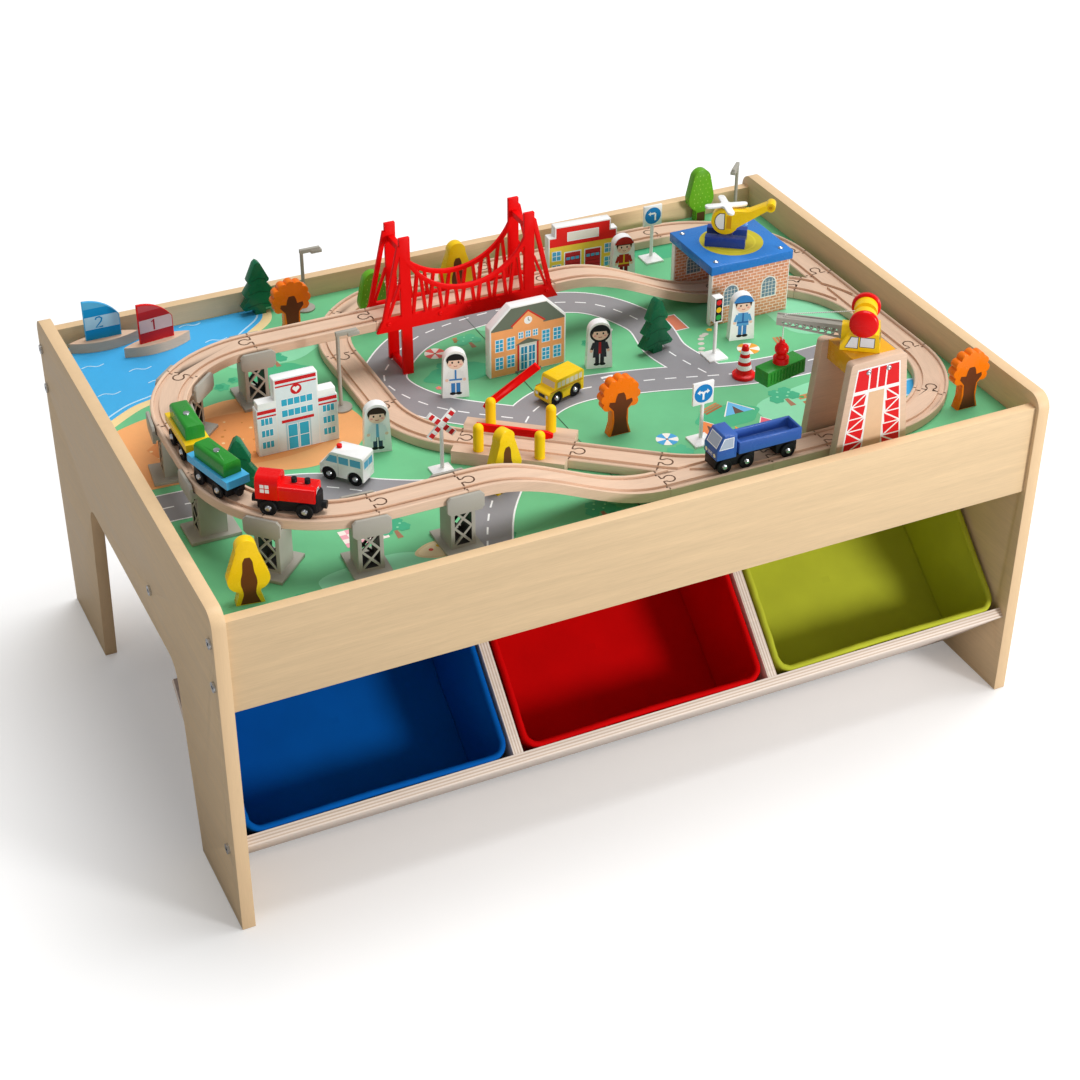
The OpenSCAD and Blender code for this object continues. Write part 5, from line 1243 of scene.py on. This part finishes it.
def build_station():
    edge = sizes().toy_edge
    dress("station_walls", ("bricks", "white"), edge, "brick_print", lambda c, n: abs(n.y) <= 0.9)
    dress("station_roof", "blue", edge)
    sheet = Print()
    for y in (37, 132):
        both_sides(sheet, spot(STATION_X, y), 8, draw_station_wall)
    sheet.on(spot(STATION_X, STATION_Y, 0, ROOF))
    for layer, (r, code) in enumerate(((40, "#C9BC2E"), (31, "#D6C93B"), (28.6, "#C9BC2E"))):
        sheet.disc(0, 0, r, code, layer, count=48)
    sheet.piece("station_print", "table", "brick_print")
    tops = [spot(STATION_X + x, STATION_Y + y, 30 * (x + y), ROOF) for x in (-46, 46) for y in (-43, 43)]
    screws("roof_screws", "zinc_steel", tops, 3.4)
    heli = spot(313.5, 92.2, 145, ROOF)
    dress("helicopter", ("yellow", "navy"), edge, None,
          lambda p, n: p.z < 12.9 or p.z < 13.2 and (abs(p.y) > 7.8 or n.z > 0.5), heli)
    dress("helicopter_rotor", "white", edge / 2)
    shapes = []
    for r, back, code, layer in ((13, 0, "#2B2B2E", 0), (12, 1, "#F2EFE6", 1)):
        nose = [ray(a, r, 0, 30) for a in range(-60, 61, 15)]
        shapes.append((nose + [(back, 30 + 0.86 * r), (back, 30 - 0.86 * r)], code, layer))
    shapes += [(rect(-8, -2, 21, 38), "#D99A12", 0), (oval(-55, 53, 4.0), "#E9B10C", 0),
               (oval(-55, 53, 2.0), "#C48A08", 1)]
    sheet = Print()
    on_sides(sheet, heli, 7.5, shapes)
    sheet.piece("helicopter_print", "table", "yellow_paint")


# Scenery

def draw_hospital(sheet):
    wall, stripe, glass = "#EAF3F7", "#DA1F26", "#39B3D6"
    for x, w, h in ((1, 22, 59), (24, 48, 93), (73, 22, 59)):
        sheet.box(x, 1, w, h, wall)
        sheet.box(x, h - 5, w, 4.5, stripe, 1)
        sheet.box(x, h - 9.6, w, 2.0, stripe, 1)
    for x in (4, 77):
        for k in range(3):
            sheet.pane(x, 9 + 15 * k, 15, 10, glass, 1, 3, 1)
    for k in range(2):
        sheet.pane(29, 44 + 14 * k, 38, 10, glass, 1, 5, 1)
    sheet.box(33, 1, 30, 36, "#BFD9E6", 1)
    for x in (35, 48.5):
        sheet.pane(x, 1, 12.5, 33, glass, 2, 1)
    sheet.box(29, 37, 38, 3.6, stripe, 2)
    sheet.disc(48, 77.5, 6.6, stripe, 1)
    for x in (46.1, 49.9):
        sheet.disc(x, 78.6, 2.2, WHITE, 2, count=16)
    sheet.fill([(44.2, 77.8), (51.8, 77.8), (48, 73.4)], WHITE, 2)


def draw_school(sheet):
    wall, roof, trim, glass = "#FFAC6E", "#6E7668", "#D8302C", "#37AEE0"
    for z, code, layer in ((1, wall, 0), (62, roof, 1)):
        sheet.fill([(2, z), (98, z), (98, 64), (74, 88.5), (28, 88.5), (2, 64)], code, layer)
    sheet.fill([(30, 58), (70, 58), (70, 66), (50, 82), (30, 66)], wall, 2)
    sheet.stroke([(28, 64.4), (50, 82), (72, 64.4)], 2.2, trim, 3)
    sheet.disc(50, 69, 5.2, WHITE, 3)
    for hand in ((50, 72.8), (52.6, 68)):
        sheet.stroke([(50, 69), hand], 0.8, "#3A3A3C", 4)
    for x in (7, 22, 68, 83):
        for y in (34, 10):
            sheet.pane(x, y, 11, 17, glass, 1, 2, 3)
    for x in (37, 46.5, 56):
        sheet.pane(x, 46, 7, 9, glass, 3)
    sheet.box(36, 1, 28, 38, "#E7E1D8", 1)
    sheet.fill([(33, 38), (67, 38), (50, 45)], roof, 2)
    for x in (36, 61.5):
        sheet.box(x, 1, 2.5, 37, trim, 2)
    for x in (40, 50.4):
        sheet.pane(x, 3, 9.6, 32, "#2A8FBE", 2, 2, 3)
    sheet.box(33, 0.6, 34, 2.4, "#8D8A86", 3)


def draw_fire_station(sheet):
    wall, top, glass = "#FBD64A", "#F0231F", "#56AEDB"
    for x, y, w, h, code, layer in ((2, 1, 92, 52, wall, 0), (2, 44, 92, 12, top, 1), (11, 56, 74, 14, top, 1),
                                    (26, 49.5, 44, 13, WHITE, 2), (27.2, 50.7, 41.6, 10.6, "#F8EFE4", 3)):
        sheet.box(x, y, w, h, code, layer)
    for x in (22, 50):
        sheet.box(x, 1, 24, 34, WHITE, 1)
        sheet.box(x + 1.4, 1, 21.2, 32.4, "#C7252C", 2)
        for k in range(5):
            sheet.box(x + 1.4, 6 + 5.4 * k, 21.2, 0.8, "#8E1419", 3)
        for k in range(3):
            sheet.box(x + 3 + 6.4 * k, 23, 5.2, 4, glass, 3)
    for x in (5, 78):
        for y in (24, 5):
            sheet.pane(x, y, 13, 14, glass, 1)


def build_houses():
    dress("house_fronts", "white", sizes().toy_edge)
    sheet = Print()
    for place, wide, draw in (((-341, -17, 0), 96, draw_hospital), ((-35, 33, 0), 100, draw_school),
                              ((139, 236, -4), 96, draw_fire_station)):
        both_sides(sheet, spot(*place), 13, draw, 0, wide)
    sheet.piece("house_print", "table", "white_paint")


def figure(hair, top, legs, cap=None, gown=None, long_hair=False, band=None, skin="#F9D3BC"):
    """Small generic person: legs, body, arms, head, hair and clothes of given inks."""
    def draw(sheet):
        for s in (-1, 1):
            sheet.box(-4.6 if s < 0 else 0.6, 5, 4.0, 14, legs)
            sheet.disc(3.0 * s, 5.0, 3.2, "#262628", 1, 1.7, count=16)
            sheet.stroke([(6.0 * s, 30), (8.6 * s, 22)], 3.2, gown or top)
            sheet.disc(8.9 * s, 20.6, 1.7, skin, 1, count=14)
        sheet.fill([(-6.6, 17), (6.6, 17), (5.6, 32), (-5.6, 32)], top, 1)
        if gown:
            for s in (-1, 1):
                sheet.fill([(7.2 * s, 13), (1.6 * s, 13), (1.2 * s, 32), (5.8 * s, 32)], gown, 2)
        if band:
            sheet.box(-6.4, 20, 12.8, 1.8, band, 3)
            sheet.box(-0.9, 21, 1.8, 11, band, 3)
        if long_hair:
            sheet.disc(0, 40.5, 10.6, hair, 2, 10.0)
        sheet.disc(0, 41, 8.6, skin, 3, 8.2)
        sheet.disc(0, 43, 9.2, hair, 4, 7.2, end=180, count=20)
        for s in (-1, 1):
            sheet.fill([(9.2 * s, 43.4), (6.4 * s, 43.4), (8.0 * s, 39)], hair, 4)
        if cap:
            sheet.disc(0, 45.2, 9.8, cap, 5, 7.4, end=180, count=20)
            sheet.box(-10.6, 44.2, 21.2, 2.2, cap, 6)
        for s in (-1, 1):
            sheet.disc(3.2 * s, 40.6, 0.9, "#2A2224", 5, 1.2, count=12)
            sheet.disc(5.2 * s, 38.0, 1.4, "#F2A59A", 4, 0.9, count=12)
        sheet.stroke([(-1.8, 36.8), (-0.8, 36.1), (0.8, 36.1), (1.8, 36.8)], 0.6, "#B04A42", 5)
    return draw


def build_people():
    dress("people", "white", sizes().toy_edge)
    sheet = Print()
    for place, draw in (
        ((-215, -57.15, -12), figure("#35271F", "#6FB3D8", "#3B4A63", gown="#E6EEF2")),
        ((-87, 17, -15), figure("#1F1D20", "#F2F2F0", "#3F86C8", band="#3F86C8")),
        ((97, 8, -15), figure("#201D22", "#B9242A", "#2B2B31", gown="#31333C", long_hair=True)),
        ((287, -3, -12), figure("#3A2A20", "#5BA5DB", "#3F86C8", "#3A84C9", band="#2F6DAF")),
        ((227, 199, -8), figure("#4A2A1C", "#B5261F", "#7E1A17", "#B5261F", band="#F1C232")),
    ):
        both_sides(sheet, spot(*place), 12, draw, 6, 0.0, 1.17)
    sheet.piece("people_print", "table", "white_paint")


def draw_round_tree(sheet):
    brown = "#6B3417"
    sheet.fill([(-11.5, 0.8), (11.5, 0.8), (9, 10), (7.6, 20), (8.6, 33), (-8.6, 33), (-7.6, 20), (-9, 10)], brown)
    for s in (-1, 1):
        sheet.fill([(s * 4, 30), (s * 8.6, 33), (s * 15, 41), (s * 14, 45.5), (s * 6, 44)], brown, 1)
    sheet.fill([(-7.5, 31), (7.5, 31), (7, 44), (5.5, 51), (3.4, 55), (-3.4, 55), (-5.5, 51), (-7, 44)], brown, 2)


def draw_bell_tree(sheet):
    side = curve_through([(10.6, 0.8), (8.6, 6), (6.6, 12), (6.9, 18), (8.4, 25), (8.0, 32), (6.2, 39), (5.6, 46),
                          (5.0, 52), (2.6, 57)], 4)
    sheet.fill(side + [(-x, z) for x, z in side[::-1]], "#6A3A16")


def draw_oval_tree(sheet):
    for i in range(8):
        for k in range(4):
            x, y = -10.5 + 7 * k + 2.5 * math.sin(3 * i + k), 22 + 6.4 * i
            if abs(x) < 16.5 - 0.0035 * (y - 34) ** 2:
                sheet.disc(x, y, 0.7, "#9ED44E", 0, 1.2, count=10)
    sheet.box(-6, 0.8, 12, 13, "#5A3A1B")


def draw_pine(sheet):
    for z, w in ((12, 17), (29, 14), (47, 9.5)):
        sheet.stroke([(-w, z), (0, z + 3), (w, z)], 1.2, "#0F5436")


# Print and places of each kind of tree, in the order of the trees' paints
TREES = (
    (draw_pine, ((-228, 309, 0), (176, 12, 10), (-384, -80, -20))),
    (draw_round_tree, ((-210, 238, 0), (48, -138, 0), (442, -257, 0))),
    (draw_oval_tree, ((-110, 217, 0), (401, 309, 0))),
    (draw_bell_tree, ((-440, -272, -8), (-120, -192, 20), (13, 243, 0))),
)


def build_trees():
    spots = [(Vector(place[:2]), i) for i, (draw, places) in enumerate(TREES) for place in places]
    dress("trees", ("pine", "orange", "leaf", "yellow"), sizes().toy_edge, "tree_paint",
          lambda c, n: min(spots, key=lambda q: (q[0] - c.xy).length)[1])
    sheet = Print()
    for draw, places in TREES:
        for place in places:
            both_sides(sheet, spot(*place), 12, draw, 6)
    sheet.piece("tree_print", "table", "tree_paint")


def arrow(sheet, shaft, way):
    """Plain road arrow: a bent shaft and a head at its end that points one way."""
    sheet.stroke(shaft, 2.4, WHITE, 1)
    tip, d = Vector(shaft[-1]), Vector(way)
    n = 3.0 * d.orthogonal()
    sheet.fill([tip + 3.6 * d, tip + n, tip - n], WHITE, 1)


def draw_bend_sign(sheet):
    sheet.disc(0, 0, 11.6, "#1F86CC", count=36)
    arrow(sheet, [(3.5, -7), (3.5, 2), (2.5, 3), (-3.4, 3)], (-1, 0))


def draw_fork_sign(sheet):
    sheet.disc(0, 0, 11.6, "#1F86CC", count=36)
    sheet.stroke([(0, -8), (0, 0)], 2.4, WHITE, 1)
    for k in (-1, 1):
        arrow(sheet, [(0, -1), (1.6 * k, 1.6), (4.4 * k, 2)], (k, 0))


def draw_traffic_light(sheet):
    sheet.box(-4.4, 1.5, 8.8, 30, "#1F1F22")
    for z, code in ((26.5, "#E0242A"), (16.5, "#F5C21B"), (6.5, "#2FA84A")):
        sheet.disc(0, z, 3.6, code, 1)


def draw_crossing_sign(sheet):
    for d in (Vector(ray(45)), Vector(ray(135))):
        for r in (-16.5, -7, 7, 16.5):
            sheet.stroke([d * (r - 2.6), d * (r + 2.6)], 6.6, "#D8262B")


# Places of the traffic cone and of the lamps, in mm
CONE = (243, -88)
LAMPS = ((-173, 294), (-219, 46), (444, 286))


def cone_bands(sheet, heights, sides=48):
    """White rings round the traffic cone, each from one height to another."""
    for band in heights:
        rings = [ring_of(sheet.bm, spot(*CONE), 10.12 - 6.5 * (z - 6) / 36, z, sides) for z in band]
        for face, _ in loft(sheet.bm, rings):
            sheet.dye(face, WHITE)


def build_signs():
    def pick(c, n):
        if (c.xy - Vector(CONE)).length < 20:
            return 1
        return 2 * (min((c.xy - Vector(p)).length for p in LAMPS) < 32)

    dress("signs_and_lamps", ("white", "red", "grey plastic"), sizes().plastic_edge, None, pick)
    sheet = Print()
    for x, y, z, thick, draw in ((286, 230, 64, 3, draw_bend_sign), (124, -196, 64, 3, draw_fork_sign),
                                 (234, -32, 50, 10, draw_traffic_light), (-167, -131, 62, 3, draw_crossing_sign)):
        both_sides(sheet, spot(x, y, 0, BOARD + z), thick, draw, thick / 2)
    cone_bands(sheet, ((12, 17.5), (22, 27.5), (32, 36.0)))
    sheet.piece("sign_print", "table", "white_paint")


def between(points, low, high):
    """Part of a convex outline between two heights."""
    for level, side in ((low, 1), (high, -1)):
        kept = []
        for a, b in zip(points, points[1:] + points[:1]):
            over_a, over_b = side * (a[1] - level), side * (b[1] - level)
            if over_a >= 0:
                kept.append(a)
            if over_a * over_b < 0:
                k = over_a / (over_a - over_b)
                kept.append((a[0] + k * (b[0] - a[0]), level))
        points = kept
    return points


def build_boats():
    dress("sailboats", ("beech", "sky", "red"), sizes().toy_edge, "beech",
          lambda c, n: 0 if c.z < BOARD + 13.2 else (1 if c.x < -400 else 2))
    sail = [(0.8, 0.8), (43, 0.8), (43, 28)] + [ray(a, 51.2) for a in range(34, 90, 7)] + [(0.8, 51.2)]
    one = [(-1.5, 37), (1.5, 40), (1.5, 26)]
    two = [(-4, 37), (-2.4, 39.6), (1.4, 40), (4, 37.6), (3, 34), (-4, 26.6), (4.6, 26.6)]
    sheet = Print()
    for place, digit, dark, pale, top in ((spot(-428, 305, 0), two, "#1596CC", "#C2E2EE", "#5FB6DA"),
                                          (spot(-371, 272, 7), one, "#BE1C26", "#E6BDBB", "#CC4A50")):
        for s in (1, -1):
            sheet.on(plane(place, (0, -2 * s, 0), (s, 0, 0)))
            for low, high, code in ((0.8, 14, dark), (14, 31, pale), (31, 42, dark), (42, 51.2, top)):
                sheet.fill([(s * (x - 22), y + 13) for x, y in between(sail, low, high)], code)
            sheet.stroke([(x - 4 * s, y + 2.5) for x, y in digit], 2.0, dark, 2)
    sheet.piece("sail_print", "table", "white_paint")


# Stage

def light(name, kind, place, target, strength, **shape):
    """Studio light at a place, turned to a target."""
    lamp = bpy.data.lights.new(name, kind)
    lamp.energy = strength
    for key, value in shape.items():
        setattr(lamp, key, value)
    piece = bpy.data.objects.new(name, lamp)
    piece.location = place
    piece.rotation_euler = (Vector(target) - Vector(place)).to_track_quat("-Z", "Y").to_euler()
    bpy.context.scene.collection.objects.link(piece)


# Focal length and width of the photograph, in its pixels
FOCAL, FRAME_WIDTH = 2105.43, 1080


def set_camera(scene):
    """Camera fitted to the photograph's straight edges: place, direction and focal length."""
    lens = bpy.data.cameras.new("Camera")
    lens.sensor_width = 36.0
    lens.lens = 36.0 * FOCAL / FRAME_WIDTH
    camera = bpy.data.objects.new("Camera", lens)
    az, el, roll = math.radians(-25.606), math.radians(34.394), math.radians(0.316)
    back = Vector((math.sin(az) * math.cos(el), -math.cos(az) * math.cos(el), math.sin(el)))
    right = Vector(UPRIGHT).cross(back).normalized()
    up = back.cross(right)
    c, s = math.cos(roll), math.sin(roll)
    axes = Matrix((c * right + s * up, c * up - s * right, back)).transposed()
    camera.matrix_world = Matrix.Translation((-0.92152, -1.95723, 1.63848)) @ axes.to_4x4()
    scene.collection.objects.link(camera)
    scene.camera = camera


def lay_floor(scene, half=8, drop=0.0004):
    """Pale floor, darker where it throws light back on the table."""
    material, tree, where = blank("Pale studio floor", "Object")
    grit = out(tree, "TexNoise", {"Vector": where, "Scale": 3.0})
    matt = out(tree, "BsdfDiffuse", {"Color": ranged(tree, grit, 0.86, 0.9, 0.0, 1.0)})
    glow = out(tree, "Emission", {"Color": (1, 1, 1, 1), "Strength": 0.16})
    lit = out(tree, "AddShader", {0: matt, 1: glow})
    dull = out(tree, "BsdfDiffuse", {"Color": (0.5, 0.5, 0.51, 1)})
    seen = add(tree, "LightPath").outputs["Is Camera Ray"]
    add(tree, "OutputMaterial", {"Surface": out(tree, "MixShader", {0: seen, 1: dull, 2: lit})})
    mesh = bpy.data.meshes.new("floor")
    mesh.from_pydata([(-half, -half, -drop), (half, -half, -drop), (half, half, -drop), (-half, half, -drop)],
                     [], [(0, 1, 2, 3)])
    mesh.materials.append(material)
    floor = bpy.data.objects.new("floor", mesh)
    scene.collection.objects.link(floor)


def build_stage():
    scene = bpy.context.scene
    scene.view_settings.view_transform = "Standard"
    set_camera(scene)
    lay_floor(scene)
    scene.world = bpy.data.worlds.new("Studio")
    scene.world.use_nodes = True
    sky = scene.world.node_tree
    sky.nodes.clear()
    soft, white = (out(sky, "Background", {"Color": (1, 1, 1, 1), "Strength": strength}) for strength in (0.36, 1.0))
    seen = add(sky, "LightPath").outputs["Is Camera Ray"]
    add(sky, "OutputWorld", {"Surface": out(sky, "MixShader", {0: seen, 1: soft, 2: white})})
    light("Key", "SUN", (1.0, 0.5, 2.8), (0.0, 0.0, 0.0), 2.3, angle=math.radians(42))
    light("Fill", "AREA", (1.92, -3.15, 1.08), (0.0, -0.35, 0.2), 81.0, shape="DISK", size=0.96)


# Operators

class TrainTableStep(bpy.types.Operator):
    """Makes one group of the train table's pieces."""
    bl_idname = "train_table.step"
    bl_label = "Train table step"
    bl_options = {"REGISTER", "UNDO"}
    makers = ()

    def execute(self, context):
        for maker in self.makers:
            maker()
        return {"FINISHED"}


def step(name, label, about, *makers):
    """Operator class for one group."""
    return type("TRAIN_TABLE_OT_" + name, (TrainTableStep,), {
        "bl_idname": "train_table." + name, "bl_label": label, "__doc__": about, "makers": makers,
    })


STEPS = (
    step("stage", "Stage", "Sets the camera, the floor and the light.", build_stage),
    step("cord", "Hoist cord", "Lays the crane's hoist cord.", build_cord),
    step("frame", "Frame", "Finishes panels, rails, board and rack.", build_frame),
    step("board_print", "Board print", "Prints the play board.", build_board_print),
    step("bins", "Bins", "Sews the three fabric bins.", build_bins),
    step("railway", "Railway", "Finishes track, pillars, crossing and bridge.", build_railway,
         build_joint_shade_lines, build_bridge_screws),
    step("train", "Train", "Paints the locomotive and the wagons.", build_train),
    step("vehicles", "Vehicles", "Paints the lorry, the bus and the ambulance.", build_truck, build_bus,
         build_ambulance),
    step("crane", "Crane", "Finishes the gantry crane and its load.", build_crane),
    step("station", "Station", "Finishes the station and the helicopter.", build_station),
    step("houses", "Houses", "Prints the house fronts.", build_houses),
    step("people", "People", "Prints the little people.", build_people),
    step("trees", "Trees", "Paints the trees.", build_trees),
    step("signs", "Signs", "Paints signs, cone and lamps.", build_signs),
    step("boats", "Boats", "Paints the sailing boats.", build_boats),
)


class TRAIN_TABLE_PT_finish(bpy.types.Panel):
    """Sizes, colours and steps of the train table's finish."""
    bl_idname = "TRAIN_TABLE_PT_finish"
    bl_label = "Train table"
    bl_space_type = "VIEW_3D"
    bl_region_type = "UI"
    bl_category = "Train table"

    def draw(self, context):
        for group in (sizes(), colours()):
            for name in group.__annotations__:
                self.layout.prop(group, name)
        for operator in STEPS:
            self.layout.operator(operator.bl_idname)


CLASSES = (TrainTableSizes, TrainTableColours) + STEPS + (TRAIN_TABLE_PT_finish,)


def register():
    for cls in CLASSES:
        bpy.utils.register_class(cls)
    bpy.types.Scene.train_table_sizes = PointerProperty(type=TrainTableSizes)
    bpy.types.Scene.train_table_colours = PointerProperty(type=TrainTableColours)


def unregister():
    del bpy.types.Scene.train_table_colours
    del bpy.types.Scene.train_table_sizes
    for cls in reversed(CLASSES):
        bpy.utils.unregister_class(cls)


def main():
    register()
    for operator in STEPS:
        group, name = operator.bl_idname.split(".")
        getattr(getattr(bpy.ops, group), name)()


if __name__ == "__main__":
    main()
